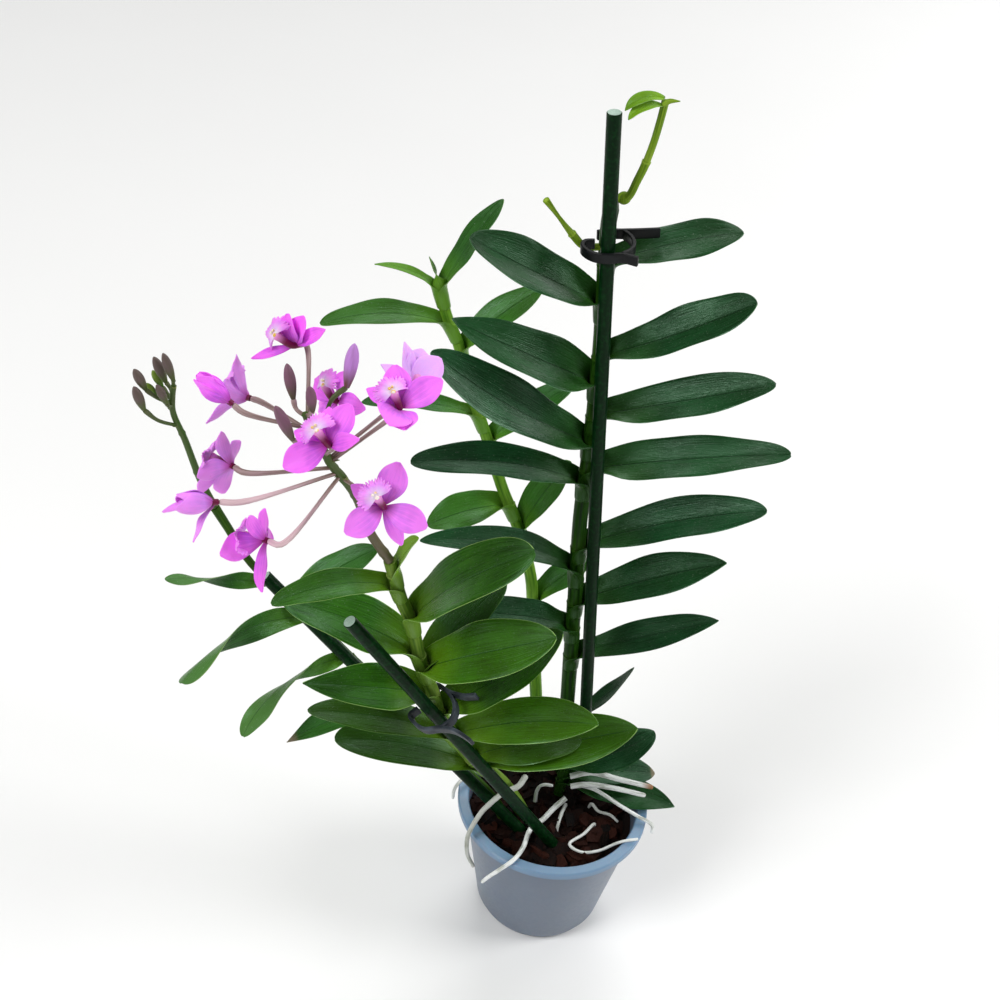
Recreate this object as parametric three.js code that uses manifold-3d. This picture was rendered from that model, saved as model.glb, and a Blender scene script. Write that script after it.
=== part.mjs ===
// A reed-stem epidendrum orchid in its pot: four leafy canes and a young shoot, a spray of blooms,
// a spray of buds, three stakes, two stem clips and the loose aerial roots.
// Millimetres, +Z up. The origin is the middle of the pot's underside.
import * as THREE from 'three';
import { mergeVertices } from 'three/addons/utils/BufferGeometryUtils.js';
import Module from 'manifold-3d';

const wasm = await Module();
wasm.setup();

// Driving dimensions.
const potHeight = 95;
const rimRadius = 60;
const lipWidth = 5;
const lipHeight = 5;
const potFootRadius = 40;
const potWall = 1.8;
const potFloor = 2.4;
const potSides = 28;
const barkTop = 82;
const barkFoot = 4;
const stakeDiameter = 7.5;
const plantLean = 5.5; // degrees that the plant leans towards -X
const leanPivot = 95;
const leafThickness = 0.9;
const petalThickness = 0.7;
const caneSides = 7;
const caneSteps = 11;
const rootSides = 5;
const fitGap = 0.3;

// Colours.
const darkLeaf = new THREE.MeshStandardMaterial({ color: 0x2c5a3c, roughness: 0.38 });
const midLeaf = new THREE.MeshStandardMaterial({ color: 0x3f7a34, roughness: 0.42 });
const brightLeaf = new THREE.MeshStandardMaterial({ color: 0x4f8f1f, roughness: 0.4 });
const stalkBrown = new THREE.MeshStandardMaterial({ color: 0x7d6550, roughness: 0.55 });
const budPurple = new THREE.MeshStandardMaterial({ color: 0x5f4a48, roughness: 0.5 });
const petalPink = new THREE.MeshStandardMaterial({ color: 0xd45fe0, roughness: 0.55 });
const stakeGreen = new THREE.MeshStandardMaterial({ color: 0x14401f, roughness: 0.35 });
const clipBlack = new THREE.MeshStandardMaterial({ color: 0x17191b, roughness: 0.4 });
const clipGrey = new THREE.MeshStandardMaterial({ color: 0x4a5058, roughness: 0.4 });
const potPlastic = new THREE.MeshStandardMaterial({ color: 0xb9c8dc, roughness: 0.4 });
const barkBrown = new THREE.MeshStandardMaterial({ color: 0x2e1a12, roughness: 0.95 });
const rootWhite = new THREE.MeshStandardMaterial({ color: 0xd8dad2, roughness: 0.8 });

const point = (x, y, z) => new THREE.Vector3(x, y, z);
const rad = THREE.MathUtils.degToRad;
const mix = THREE.MathUtils.lerp;

// The unit vector at an azimuth from +X towards +Y and an elevation above the level.
function direction(azimuth, elevation) {
  const flat = Math.cos(rad(elevation));
  return point(flat * Math.cos(rad(azimuth)), flat * Math.sin(rad(azimuth)), Math.sin(rad(elevation)));
}

// Turns a closed geometry into a solid that can be joined and cut.
function solid(geometry) {
  const bare = geometry.clone();
  bare.deleteAttribute('normal');
  bare.deleteAttribute('uv');
  const merged = mergeVertices(bare, 1e-4);
  const corners = [];
  for (let i = 0; i < merged.index.count; i += 3) {
    const [a, b, c] = [0, 1, 2].map((k) => merged.index.getX(i + k));
    if (a !== b && b !== c && c !== a) corners.push(a, b, c);
  }
  return new wasm.Manifold(new wasm.Mesh({
    numProp: 3,
    vertProperties: new Float32Array(merged.attributes.position.array),
    triVerts: new Uint32Array(corners),
  }));
}

// Joins closed geometries into one solid.
function fuse(geometries) {
  return geometries.map(solid).reduce((whole, piece) => whole.add(piece));
}

// Turns a solid back into a geometry.
function shape(body) {
  const mesh = body.getMesh();
  const geometry = new THREE.BufferGeometry();
  geometry.setAttribute('position', new THREE.BufferAttribute(mesh.vertProperties, 3));
  geometry.setIndex(new THREE.BufferAttribute(mesh.triVerts, 1));
  geometry.computeVertexNormals();
  return geometry;
}

const route = (places) => new THREE.CatmullRomCurve3(places.map((place) => point(...place)));

// A round stalk along a curve: a bent cylinder whose radius is a function of the way along it.
function stalk(curve, radiusAt, sides, steps) {
  const frames = curve.computeFrenetFrames(steps, false);
  const rod = new THREE.CylinderGeometry(1, 1, 1, sides, steps);
  const place = rod.attributes.position;
  for (let i = 0; i < place.count; i += 1) {
    const ring = Math.round((place.getY(i) + 0.5) * steps);
    const radius = radiusAt(ring / steps);
    const spot = curve.getPointAt(ring / steps);
    spot.addScaledVector(frames.normals[ring], place.getX(i) * radius);
    spot.addScaledVector(frames.binormals[ring], -place.getZ(i) * radius);
    place.setXYZ(i, spot.x, spot.y, spot.z);
  }
  return rod;
}

// A straight rod between two points.
function rod(from, to, radius, sides = 16) {
  const line = new THREE.LineCurve3(point(...from), point(...to));
  return stalk(line, () => radius, sides, 1);
}

// The half-width of a blade, as a share of its greatest, a share u of the way along.
function outline(u, { neck, widest, blunt }) {
  if (u < widest) return mix(neck, 1, Math.sin((Math.PI / 2) * (u / widest)));
  const past = (u - widest) / (1 - widest);
  return (1 - past ** 2) ** blunt;
}

// How far the rings of a blade crowd towards its tip, which keeps the tip round.
const tipCrowding = 1.35;
// Where the outline is cut off, which leaves a blunt end.
const tipShare = 0.98;

// A leaf, petal or lobe: a thin blade along an arc that starts at `start`. It leaves at azimuth and
// rise, bends down by droop and round by sweep, is rolled and twisted about its own line, and is
// folded along its midrib. Both skins are split into the same triangles.
function blade({ start, azimuth, rise, droop = 0, sweep = 0, roll = 0, twist = 0, fold = 10,
  length, width, neck = 0.3, widest = 0.5, blunt = 0.55, thickness = leafThickness,
  steps = 5, lanes = 2 }) {
  const columns = lanes + 1;
  const ringSize = 2 * columns;
  const spots = [];
  const centre = start.clone();
  let past = 0;
  for (let i = 0; i <= steps; i += 1) {
    const u = 1 - (1 - i / steps) ** tipCrowding;
    const mid = (u + past) / 2;
    centre.addScaledVector(direction(azimuth + sweep * mid, rise - droop * mid), length * (u - past));
    past = u;
    const along = direction(azimuth + sweep * u, rise - droop * u);
    const flatUp = direction(azimuth + sweep * u, rise - droop * u + 90);
    const flatSide = flatUp.clone().cross(along);
    const turn = rad(roll + twist * u);
    const up = flatUp.clone().multiplyScalar(Math.cos(turn)).addScaledVector(flatSide, Math.sin(turn));
    const side = up.clone().cross(along).negate();
    const share = outline(Math.min(u, tipShare), { neck, widest, blunt });
    const half = Math.max((width / 2) * share, 0.6);
    for (const face of [0.5, -0.5]) {
      for (let j = 0; j < columns; j += 1) {
        const v = -1 + (2 * j) / lanes;
        const spot = centre.clone();
        spot.addScaledVector(side, -v * half * Math.cos(rad(fold)));
        spot.addScaledVector(up, Math.abs(v) * half * Math.sin(rad(fold)) + face * thickness);
        spots.push(spot.x, spot.y, spot.z);
      }
    }
  }
  const index = [];
  const quad = (a, b, c, d) => index.push(a, b, c, a, c, d);
  for (let i = 0; i < steps; i += 1) {
    const near = i * ringSize;
    const far = near + ringSize;
    for (let j = 0; j < lanes; j += 1) {
      quad(near + j, far + j, far + j + 1, near + j + 1);
      index.push(near + columns + j, far + columns + j + 1, far + columns + j);
      index.push(near + columns + j, near + columns + j + 1, far + columns + j + 1);
    }
    quad(near, near + columns, far + columns, far);
    quad(near + lanes, far + lanes, far + columns + lanes, near + columns + lanes);
  }
  const last = steps * ringSize;
  for (let j = 0; j < lanes; j += 1) {
    quad(j, j + 1, columns + j + 1, columns + j);
    quad(last + j, last + columns + j, last + columns + j + 1, last + j + 1);
  }
  const geometry = new THREE.BufferGeometry();
  geometry.setAttribute('position', new THREE.Float32BufferAttribute(spots, 3));
  geometry.setIndex(index);
  return geometry;
}

// The point of a rising curve at a height.
function atHeight(curve, height) {
  let low = 0;
  let high = 1;
  for (let i = 0; i < 30; i += 1) {
    const middle = (low + high) / 2;
    if (curve.getPointAt(middle).z < height) low = middle;
    else high = middle;
  }
  return curve.getPointAt(low);
}

// The pot and its bark stand upright. The plant and its stakes lean together, about the pot's rim.
const orchid = new THREE.Group();
const plant = new THREE.Group();
plant.rotation.y = -rad(plantLean);
plant.position.set(0, 0, leanPivot).sub(point(0, 0, leanPivot).applyEuler(plant.rotation));
orchid.add(plant);
orchid.updateMatrixWorld(true);

function addNode(group, name, geometry, material) {
  const mesh = new THREE.Mesh(geometry, material);
  mesh.name = name;
  group.add(mesh);
  return mesh;
}

// What the bark has holes for, each a little thicker than what stands in it.
const barkHoles = [];
function holeFor(geometry, group) {
  barkHoles.push(solid(geometry.clone().applyMatrix4(group.matrixWorld)));
}

// ---- The canes: a tapering reed stem and its two rows of leaves. Each leaf gives the height at
// which it leaves the stem.
const canes = {
  tall_cane: {
    material: darkLeaf,
    places: [[6, 30, 58], [9, 36, 149], [10.5, 38, 206], [11.5, 38, 248], [12.5, 38, 293],
      [15, 38, 329], [17.5, 38, 369], [19.5, 38, 417], [20.5, 38, 484],
      [22.5, 37, 502]],
    radius: [4.8, 4],
    twigs: [
      { places: [[20, 38, 473], [9, 37, 474], [3, 36, 481], [-11, 30, 504]], radius: 1.9, steps: 5 },
      { places: [[24, 36.5, 502], [28, 35.2, 502], [31, 34.8, 503]], radius: 3.1, steps: 2 },
      { places: [[28, 35, 501], [30.6, 34.5, 505], [33.2, 34, 512], [36.4, 34, 520], [40, 34, 532],
        [42.6, 33, 545], [44.3, 32.5, 556]], radius: 2.2, steps: 8 },
      { places: [[43.5, 32, 554], [46, 31, 555.5], [51, 30, 556]], radius: 1.3, steps: 2 },
    ],
    leafForm: { neck: 0.28, widest: 0.55, blunt: 0.5, sweep: -14, fold: 16 },
    leaves: [
      { height: 438.5, azimuth: 205, rise: 36, droop: 2, sweep: -22, length: 86, width: 29, roll: 31,
        widest: 0.49, blunt: 0.43 },
      { height: 388.5, azimuth: 212, rise: 38, droop: 7, sweep: -33, length: 97, width: 29, roll: 39,
        twist: 5, widest: 0.34, blunt: 0.73 },
      { height: 349, azimuth: 222, rise: 38, droop: -6, sweep: -47, length: 122, width: 30, roll: 39,
        twist: 4, blunt: 0.56 },
      { height: 320, azimuth: 200, rise: 38, droop: 40, length: 106, width: 22, roll: 26, widest: 0.47,
        blunt: 0.43 },
      { height: 253.5, azimuth: 207, rise: 53, droop: 53, sweep: -19, length: 109, width: 18, roll: 35,
        widest: 0.48, blunt: 0.62 },
      { height: 208, azimuth: 201, rise: 37, droop: 27, sweep: -13, length: 67, width: 22, roll: 25 },
      { height: 462.5, azimuth: 14, rise: 15, droop: 8, sweep: -15, length: 72, width: 25, roll: -19,
        fold: 4 },
      { height: 406, azimuth: -2, rise: 18, droop: -17, sweep: -10, length: 89, width: 26, roll: -28,
        widest: 0.61, blunt: 0.44 },
      { height: 367, azimuth: -1, rise: 12, droop: -9, sweep: -11, length: 100, width: 25, roll: -28,
        widest: 0.49 },
      { height: 329.5, azimuth: -4, rise: 13, droop: 3, sweep: -8, length: 113, width: 26, roll: -28,
        widest: 0.35 },
      { height: 272.5, azimuth: 0, rise: 25, droop: 11, length: 112, width: 26, roll: -28 },
      { height: 229, azimuth: 0, rise: 25, droop: 1, length: 96, width: 27, roll: -28, blunt: 0.8 },
      { height: 185.5, azimuth: -3, rise: 21, droop: -7, sweep: -10, length: 96, width: 21, roll: -28,
        blunt: 0.79 },
      { height: 129, azimuth: 2, rise: 37, droop: -32, sweep: -27, length: 69, width: 11, roll: -24,
        blunt: 1 },
      { from: [44, 32.5, 556], azimuth: 192, rise: 30, droop: 84, sweep: 0, length: 21.5, width: 6, roll: 35,
        blunt: 0.8, fold: 25 },
      { from: [43, 31.5, 553], azimuth: 198, rise: 22, droop: 74, sweep: 0, length: 19, width: 6.5,
        roll: 20, blunt: 0.8, fold: 25 },
    ],
  },
  middle_cane: {
    material: midLeaf,
    places: [[-6, 34, 58], [-11, 48, 150], [-13.5, 54, 212], [-15, 56, 234], [-24, 61, 272],
      [-32, 64, 295], [-41, 68, 329], [-51, 72, 363], [-57, 75, 391], [-62, 77, 404], [-67, 80, 425]],
    radius: [4.2, 3.2],
    leaves: [
      { height: 401, azimuth: 190, rise: 29, droop: 45, length: 73, width: 18, roll: 15 },
      { height: 421, azimuth: 10, rise: 61, droop: 10, length: 63, width: 16, roll: -20 },
      { height: 422, azimuth: 180, rise: 49, droop: 50, length: 39, width: 6, roll: 20, blunt: 1 },
      { height: 424, azimuth: 170, rise: 80, droop: 10, length: 18, width: 5, blunt: 1 },
      { height: 385, azimuth: 15, rise: 45, droop: 20, length: 58, width: 20, roll: -20 },
      { height: 344, azimuth: 186, rise: 27, droop: 30, length: 68, width: 14, roll: 10 },
      { height: 327, azimuth: 20, rise: 37, droop: 20, length: 58, width: 20, roll: -20 },
      { height: 284, azimuth: 200, rise: 13, droop: 30, length: 51, width: 24, roll: 20 },
      { height: 265, azimuth: 15, rise: 66, droop: 20, length: 56, width: 22, roll: -20 },
      { height: 215, azimuth: 20, rise: 40, droop: 20, length: 43, width: 18, roll: -20 },
    ],
  },
  flowering_cane: {
    material: brightLeaf,
    places: [[-12, 4, 58], [-30, -12, 120], [-52, -30, 170], [-67.5, -40, 214], [-71.5, -42, 237],
      [-76, -45, 257], [-81, -50, 298], [-85, -53, 315], [-89.5, -57, 346]],
    radius: [4.8, 3.4],
    leaves: [
      { height: 297, azimuth: -34, rise: 60, droop: 30, sweep: 26, length: 99, width: 33, roll: -31,
        widest: 0.56, blunt: 0.48 },
      { height: 256, azimuth: -37, rise: 44, droop: 21, sweep: 29, length: 94, width: 34, roll: -32,
        twist: -6 },
      { height: 216, azimuth: 1, rise: 38, droop: -5, sweep: 4, length: 91, width: 33, roll: -22 },
      { height: 193, azimuth: 3, rise: 20, droop: 1, sweep: -34, length: 91, width: 29, roll: -28,
        neck: 0.2, blunt: 0.63 },
      { height: 164, azimuth: -3, rise: 16, droop: -5, sweep: -1, length: 101, width: 32, roll: -28,
        twist: -4, widest: 0.55, blunt: 0.69 },
      { height: 166.5, azimuth: -4, rise: 30, droop: 29, sweep: 2, length: 68, width: 29, roll: -21,
        widest: 0.56 },
      { height: 326, azimuth: 203, rise: 34, droop: 51, sweep: -3, length: 69, width: 17, roll: 22 },
      { height: 268, azimuth: 175, rise: 41, droop: 36, sweep: -5, length: 81, width: 32, roll: 19,
        widest: 0.42, blunt: 0.65 },
      { height: 234, azimuth: 198, rise: 25, droop: 15, sweep: -12, length: 75, width: 28, roll: 28,
        widest: 0.36, blunt: 0.99 },
      { height: 193, azimuth: 190, rise: 35, droop: 23, length: 89, width: 22, roll: 20 },
      { height: 153, azimuth: 190, rise: 40, droop: 31, sweep: -1, length: 95, width: 29, roll: 21,
        blunt: 0.46 },
      { height: 336, azimuth: -10, rise: 67, droop: 10, length: 30, width: 12, roll: -20, fold: 25 },
      { height: 259, azimuth: 28, rise: 44, droop: 12, length: 66, width: 24, roll: -20 },
    ],
  },
  bud_cane: {
    material: midLeaf,
    places: [[-24, -8, 58], [-37, -8, 102], [-60, -5, 134], [-105, 1, 195], [-137, 5, 239],
      [-158, 7, 266], [-173, 8, 286], [-184, 8, 314], [-189, 8, 327]],
    radius: [3.8, 2.1],
    leaves: [
      { height: 271, azimuth: 203, rise: 31, droop: 23, sweep: -9, length: 63, width: 12, roll: -9,
        twist: 233 },
      { height: 247, azimuth: 215, rise: 32, droop: 42, sweep: 28, length: 98, width: 20, roll: 30,
        twist: 138, widest: 0.64, neck: 0.37, blunt: 0.35 },
      { height: 217.5, azimuth: 212, rise: 24, droop: 85, sweep: 4, length: 84, width: 17, roll: 42,
        twist: 191, blunt: 0.47 },
      { height: 259, azimuth: 18, rise: 36, droop: 20, length: 59, width: 20, roll: -20 },
      { height: 179, azimuth: 196, rise: 14, droop: 45, length: 72, width: 18, roll: 10, blunt: 0.9 },
    ],
  },
  basal_shoot: {
    material: darkLeaf,
    places: [[2, 14, 58], [4, 13, 85], [6, 12, 105], [8, 12, 122]],
    radius: [3.6, 2.6],
    leaves: [
      { height: 99, azimuth: -13, rise: 4, droop: 22, sweep: 2, length: 74, width: 24, roll: -16,
        blunt: 0.9 },
      { height: 104, azimuth: 1, rise: 8, droop: 24, sweep: 7, length: 60, width: 22, roll: -15 },
      { height: 112, azimuth: -22, rise: 31, droop: 19, sweep: 58, length: 64, width: 25, roll: -19,
        neck: 0.22 },
    ],
  },
};

for (const [name, cane] of Object.entries(canes)) {
  const curve = route(cane.places);
  const [thick, thin] = cane.radius;
  const sheath = stalk(curve, (t) => mix(thick, thin, t) + fitGap, caneSides, caneSteps);
  const pieces = [stalk(curve, (t) => mix(thick, thin, t), caneSides, caneSteps)];
  for (const leaf of cane.leaves) {
    const start = leaf.from ? point(...leaf.from) : atHeight(curve, leaf.height);
    pieces.push(blade({ start, ...cane.leafForm, ...leaf }));
  }
  for (const twig of cane.twigs ?? []) {
    pieces.push(stalk(route(twig.places), () => twig.radius, 6, twig.steps));
  }
  addNode(plant, name, shape(fuse(pieces)), cane.material);
  holeFor(sheath, plant);
}

// ---- The blooms. Each gives the place where its sepals join, the azimuth and elevation that it
// faces, and the angle round its face of its lip. Each tepal has its angle, how far it has opened, in
// degrees from the face line, its width and, if it isn't the usual one, its length. A cupped bloom's
// tepals bend back over it, and a furled one keeps its lip inside.
const blooms = [
  { at: [-127.7, -54, 475.7], face: [-132, 25], lip: 153,
    tepals: [[77, 65, 12, 16], [42, 77, 8, 20], [219, 52, 5, 22], [101, 50, 11, 16], [150, 62, 9, 14]] },
  { at: [-156.5, -78, 461.4], face: [170, 42], lip: 90, cup: 52, furled: true,
    tepals: [[30, 30, 11], [150, 30, 11], [90, 26, 11], [210, 30, 11], [330, 30, 11]] },
  { at: [-151.9, -58, 449.2], face: [153, 1], lip: 71,
    tepals: [[93, 65, 8, 22], [323, 38, 9, 23], [55, 51, 12, 15], [150, 42, 11, 17], [215, 38, 9, 16]] },
  { at: [-159, -80, 426], face: [140, -2], lip: 42,
    tepals: [[82, 78, 8, 21], [311, 48, 13, 21], [277, 60, 13, 19], [3, 60, 12, 17], [170, 45, 10, 16]] },
  { at: [-162.2, -112, 430.1], face: [-160, 16], lip: 100, cup: 78, furled: true,
    tepals: [[70, 16, 5, 26], [275, 60, 6, 22], [345, 49, 18, 19], [180, 44, 15, 18], [110, 46, 15, 18]] },
  { at: [-142, -108, 404], face: [146, -12], lip: 40,
    tepals: [[68, 86, 8, 20], [5, 48, 15, 21], [299, 80, 9, 24], [150, 45, 9, 17], [220, 45, 12, 17]] },
  { at: [-109.9, -100, 453.2], face: [-101, 46], lip: 132,
    tepals: [[68, 76, 14], [166, 88, 9, 18], [216, 70, 15, 22], [9, 40, 9], [102, 90, 9, 18]] },
  { at: [-110.8, -50, 441.6], face: [-149, 27], lip: 121,
    tepals: [[72, 59, 9], [181, 71, 12], [214, 86, 12], [258, 80, 9, 14], [20, 84, 12]] },
  { at: [-79.4, -79, 458.2], face: [-72, 50], lip: 112,
    tepals: [[84, 68, 14, 19], [132, 90, 9, 17], [224, 32, 18, 18], [20, 64, 14, 23], [262, 42, 15, 15]] },
  { at: [-75, -58, 453.8], face: [-37, 56], lip: 85, furled: true,
    tepals: [[63, 54, 8, 22], [110, 66, 10, 18], [34, 62, 15, 20], [150, 60, 10, 18], [8, 54, 15, 20]] },
  { at: [-87.5, -98, 416.1], face: [-75, 32], lip: 121,
    tepals: [[62, 80, 15, 21], [138, 92, 9, 17], [206, 79, 15, 21], [288, 88, 8, 21], [325, 68, 14, 22]] },
];
const columnLength = 10.5;
const columnTilt = 50;
const tepalLength = 20;
const tepalDroop = 24;
const cupBelow = 55; // degrees: a cupped bloom's tepals that have opened less bend inwards
const broadAbove = 12; // mm: a wider tepal has the form of a petal, and the others that of a sepal
const sepalForm = { neck: 0.2, blunt: 0.75 };
const petalForm = { neck: 0.16, blunt: 0.6 };
const petalLift = 0.6;
const bloomBack = 2;

// A bloom in its own frame: it faces +Z, and angles run from +X towards +Y. The sepals stand a
// little behind the petals, and all are sunk in the column.
function bloomShape({ lip, cup, furled, tepals }) {
  const tip = direction(lip, furled ? 85 : columnTilt).multiplyScalar(columnLength);
  const column = new THREE.CatmullRomCurve3([point(0, 0, -bloomBack), point(0, 0, 2), tip]);
  const pieces = [stalk(column, (t) => mix(1.5, 2.2, t), 5, 3)];
  for (const [angle, opened, width, length = tepalLength] of tepals) {
    const form = width > broadAbove ? petalForm : sepalForm;
    const lift = form === petalForm ? petalLift : -petalLift;
    pieces.push(blade({
      start: direction(angle, 0).multiplyScalar(0.7).setZ(lift), azimuth: angle, rise: 90 - opened,
      droop: cup && opened < cupBelow ? -cup : tepalDroop, length, width, widest: 0.55,
      thickness: petalThickness, steps: 3, lanes: 1, fold: 0, ...form,
    }));
  }
  for (const side of furled ? [] : [-62, 0, 62]) {
    pieces.push(blade({
      start: tip.clone().multiplyScalar(0.93).addScaledVector(direction(lip + side, 0), 0.8),
      azimuth: lip + side, rise: 25, droop: 40, fold: 0, length: 9.5, width: 9, neck: 0.15,
      widest: 0.7, blunt: 0.5, thickness: petalThickness, steps: 2, lanes: 1,
    }));
  }
  return shape(fuse(pieces));
}

blooms.forEach((bloom, k) => {
  const name = `bloom_${String(k + 1).padStart(2, '0')}`;
  const mesh = addNode(plant, name, bloomShape(bloom), petalPink);
  mesh.position.set(...bloom.at);
  mesh.quaternion.copy(facing(direction(...bloom.face)));
});

// ---- The flower spray: the flower stalk above the flowering cane, a stalk to each bloom and the
// buds at its tip.
const sprayStalk = route([[-89.7, -57.2, 346.6], [-98, -60, 367], [-103.5, -64, 394], [-109, -67, 408],
  [-114, -70, 420], [-119, -73, 440], [-123, -75, 452]]);
const pedicelFoot = [0.97, 0.9, 0.86, 0.66, 0.62, 0.6, 0.75, 0.8, 0.7, 0.72, 0.58];
const pedicelBend = 0.15;
const buds = [
  { foot: 0.8, stalkTo: [-111, -70, 456], base: [-104, -65, 460], tip: [-99, -65, 484], radius: 3.4 },
  { foot: 0.98, stalkTo: [-128, -68, 450], base: [-129, -66, 454], tip: [-131, -62, 471], radius: 2.9 },
  { foot: 0.99, stalkTo: [-121, -76, 452], base: [-119, -77, 455], tip: [-119, -80, 471], radius: 2.6 },
  { foot: 0.8, stalkTo: [-126, -78, 437], base: [-129, -80, 441], tip: [-134, -88, 466], radius: 3 },
];

// A closed bud: a spindle between two points.
function budShape(base, tip, radius) {
  const line = new THREE.LineCurve3(point(...base), point(...tip));
  const bulge = (t) => Math.max(outline(t, { neck: 0.4, widest: 0.55, blunt: 0.62 }), 0.15);
  return stalk(line, (t) => radius * bulge(t), 5, 4);
}

function sprayShape() {
  const pieces = [stalk(sprayStalk, (t) => mix(2.7, 1.6, t), 6, 8)];
  blooms.forEach((bloom, k) => {
    const face = direction(...bloom.face);
    const foot = sprayStalk.getPointAt(pedicelFoot[k]);
    const end = point(...bloom.at).addScaledVector(face, -bloomBack - 2 * fitGap);
    const bend = end.clone().addScaledVector(face, -pedicelBend * foot.distanceTo(end));
    pieces.push(stalk(new THREE.CatmullRomCurve3([foot, bend, end]), (t) => mix(1, 1.5, t), 5, 3));
  });
  for (const bud of buds) {
    const foot = sprayStalk.getPointAt(bud.foot);
    const stem = new THREE.CatmullRomCurve3([foot, point(...bud.stalkTo), point(...bud.base)]);
    pieces.push(stalk(stem, () => 1.3, 4, 2));
    pieces.push(budShape(bud.base, bud.tip, bud.radius));
  }
  return shape(fuse(pieces));
}
addNode(plant, 'flower_spray', sprayShape(), stalkBrown);

// ---- The bud spray: the stalk above the bud cane and its cluster of closed buds.
const budStalk = route([[-189.2, 8, 327.6], [-195, 9, 346], [-200, 9, 373], [-204, 9, 391],
  [-203, 9, 401], [-201.5, 9, 408]]);
const budCluster = [
  { foot: 0.86, via: [-210, 5, 403], base: [-215, 4, 409], tip: [-219, 3, 422.5], radius: 2.6 },
  { foot: 0.68, via: [-211, 2, 391], base: [-216.5, 0, 399], tip: [-219.5, -1, 414.5], radius: 2.7 },
  { foot: 0.93, via: [-204, 11, 405], base: [-206, 12, 408], tip: [-210, 11, 424.5], radius: 2.7 },
  { foot: 0.99, via: [-201.3, 8.5, 411], base: [-201, 8, 412], tip: [-204, 7, 429.5], radius: 2.5 },
  { foot: 0.84, via: [-205, 5, 398], base: [-205, 3, 401], tip: [-208.5, 2, 413.5], radius: 2.3 },
  { foot: 0.8, via: [-208, 11, 396], base: [-212, 12, 400], tip: [-216.5, 11, 408], radius: 2 },
  { foot: 0.84, via: [-206, 13, 399], base: [-209, 15, 403], tip: [-212.5, 14, 414], radius: 2.2 },
];

function budSprayShape() {
  const pieces = [stalk(budStalk, (t) => mix(2.1, 1.6, t), 6, 6)];
  for (const bud of budCluster) {
    const foot = budStalk.getPointAt(bud.foot);
    const stem = new THREE.CatmullRomCurve3([foot, point(...bud.via), point(...bud.base)]);
    pieces.push(stalk(stem, () => 1.1, 4, 2));
    pieces.push(budShape(bud.base, bud.tip, bud.radius));
  }
  return shape(fuse(pieces));
}
addNode(plant, 'bud_spray', budSprayShape(), budPurple);

// ---- The stakes.
const stakes = {
  tall_stake: { foot: [20, 25, 30], top: [20, 25, 553] },
  front_stake: { foot: [16, -20, 48], top: [-111, -68, 314] },
  left_stake: { foot: [6, -20.5, 48], top: [-165, 1, 283] },
};
for (const [name, { foot, top }] of Object.entries(stakes)) {
  addNode(plant, name, shape(solid(rod(foot, top, stakeDiameter / 2))), stakeGreen);
  holeFor(rod(foot, top, stakeDiameter / 2 + fitGap), plant);
}

// ---- The stem clips: two jaws with their handles and a sprung bridge between them, flat across
// their stake, which stands at their own origin.
const clipWidth = 2;
const clipHeight = 5.5;
const clips = {
  tall_clip: {
    centre: [20, 25, 477], along: [0, 0, 1], turn: 0, material: clipBlack,
    bars: [
      [[-6, 9], [-11, 8.5], [-12.5, 5], [-10.5, 0], [-6, -4], [0, -5.2], [7, -4.5], [14.5, -8]],
      [[-4.5, 17.4], [0, 18.8], [8, 18.8], [18, 19.2], [27.5, 20]],
      [[7, -3.8], [12, 1], [13.5, 7], [12, 14], [9, 18.5]],
    ],
  },
  front_clip: {
    centre: [-70.4, -52.7, 229], along: [-127, -48, 266], turn: 67, material: clipGrey,
    bars: [
      [[-9, 5], [-14, 2], [-11.5, -3.5], [-4.5, -10], [4, -11.5], [12, -14.5], [18, -19], [24, -25]],
      [[-11, 13], [-9.5, 18.5], [-3, 19.5], [4, 16.5], [9, 11.5], [14, 8], [20, 5], [27, 3.5]],
      [[9, 11], [13, 4], [14, -2], [12, -8], [6, -11.8]],
    ],
  },
};

// A flat bar bent along a curve in the XY plane.
function bar(places) {
  const curve = new THREE.CatmullRomCurve3(places.map(([x, y]) => point(x, y, 0)));
  const count = places.length + 3;
  const sides = [[], []];
  for (let i = 0; i <= count; i += 1) {
    const spot = curve.getPointAt(i / count);
    const along = curve.getTangentAt(i / count);
    sides[0].push(new THREE.Vector2(spot.x - along.y * clipWidth / 2, spot.y + along.x * clipWidth / 2));
    sides[1].push(new THREE.Vector2(spot.x + along.y * clipWidth / 2, spot.y - along.x * clipWidth / 2));
  }
  const outlineShape = new THREE.Shape([...sides[0], ...sides[1].reverse()]);
  const settings = { depth: clipHeight, bevelEnabled: false };
  return new THREE.ExtrudeGeometry(outlineShape, settings).translate(0, 0, -clipHeight / 2);
}

// The turn that takes +Z to a direction and keeps +X as near to level as it can be.
function facing(toward) {
  const across = point(-toward.y, toward.x, 0);
  if (across.lengthSq() < 1e-6) across.set(1, 0, 0);
  across.normalize();
  const basis = new THREE.Matrix4().makeBasis(across, toward.clone().cross(across), toward);
  return new THREE.Quaternion().setFromRotationMatrix(basis);
}

for (const [name, clip] of Object.entries(clips)) {
  const mesh = addNode(plant, name, shape(fuse(clip.bars.map(bar))), clip.material);
  mesh.position.set(...clip.centre);
  mesh.quaternion.copy(facing(point(...clip.along).normalize()));
  mesh.rotateZ(rad(clip.turn));
}

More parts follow.
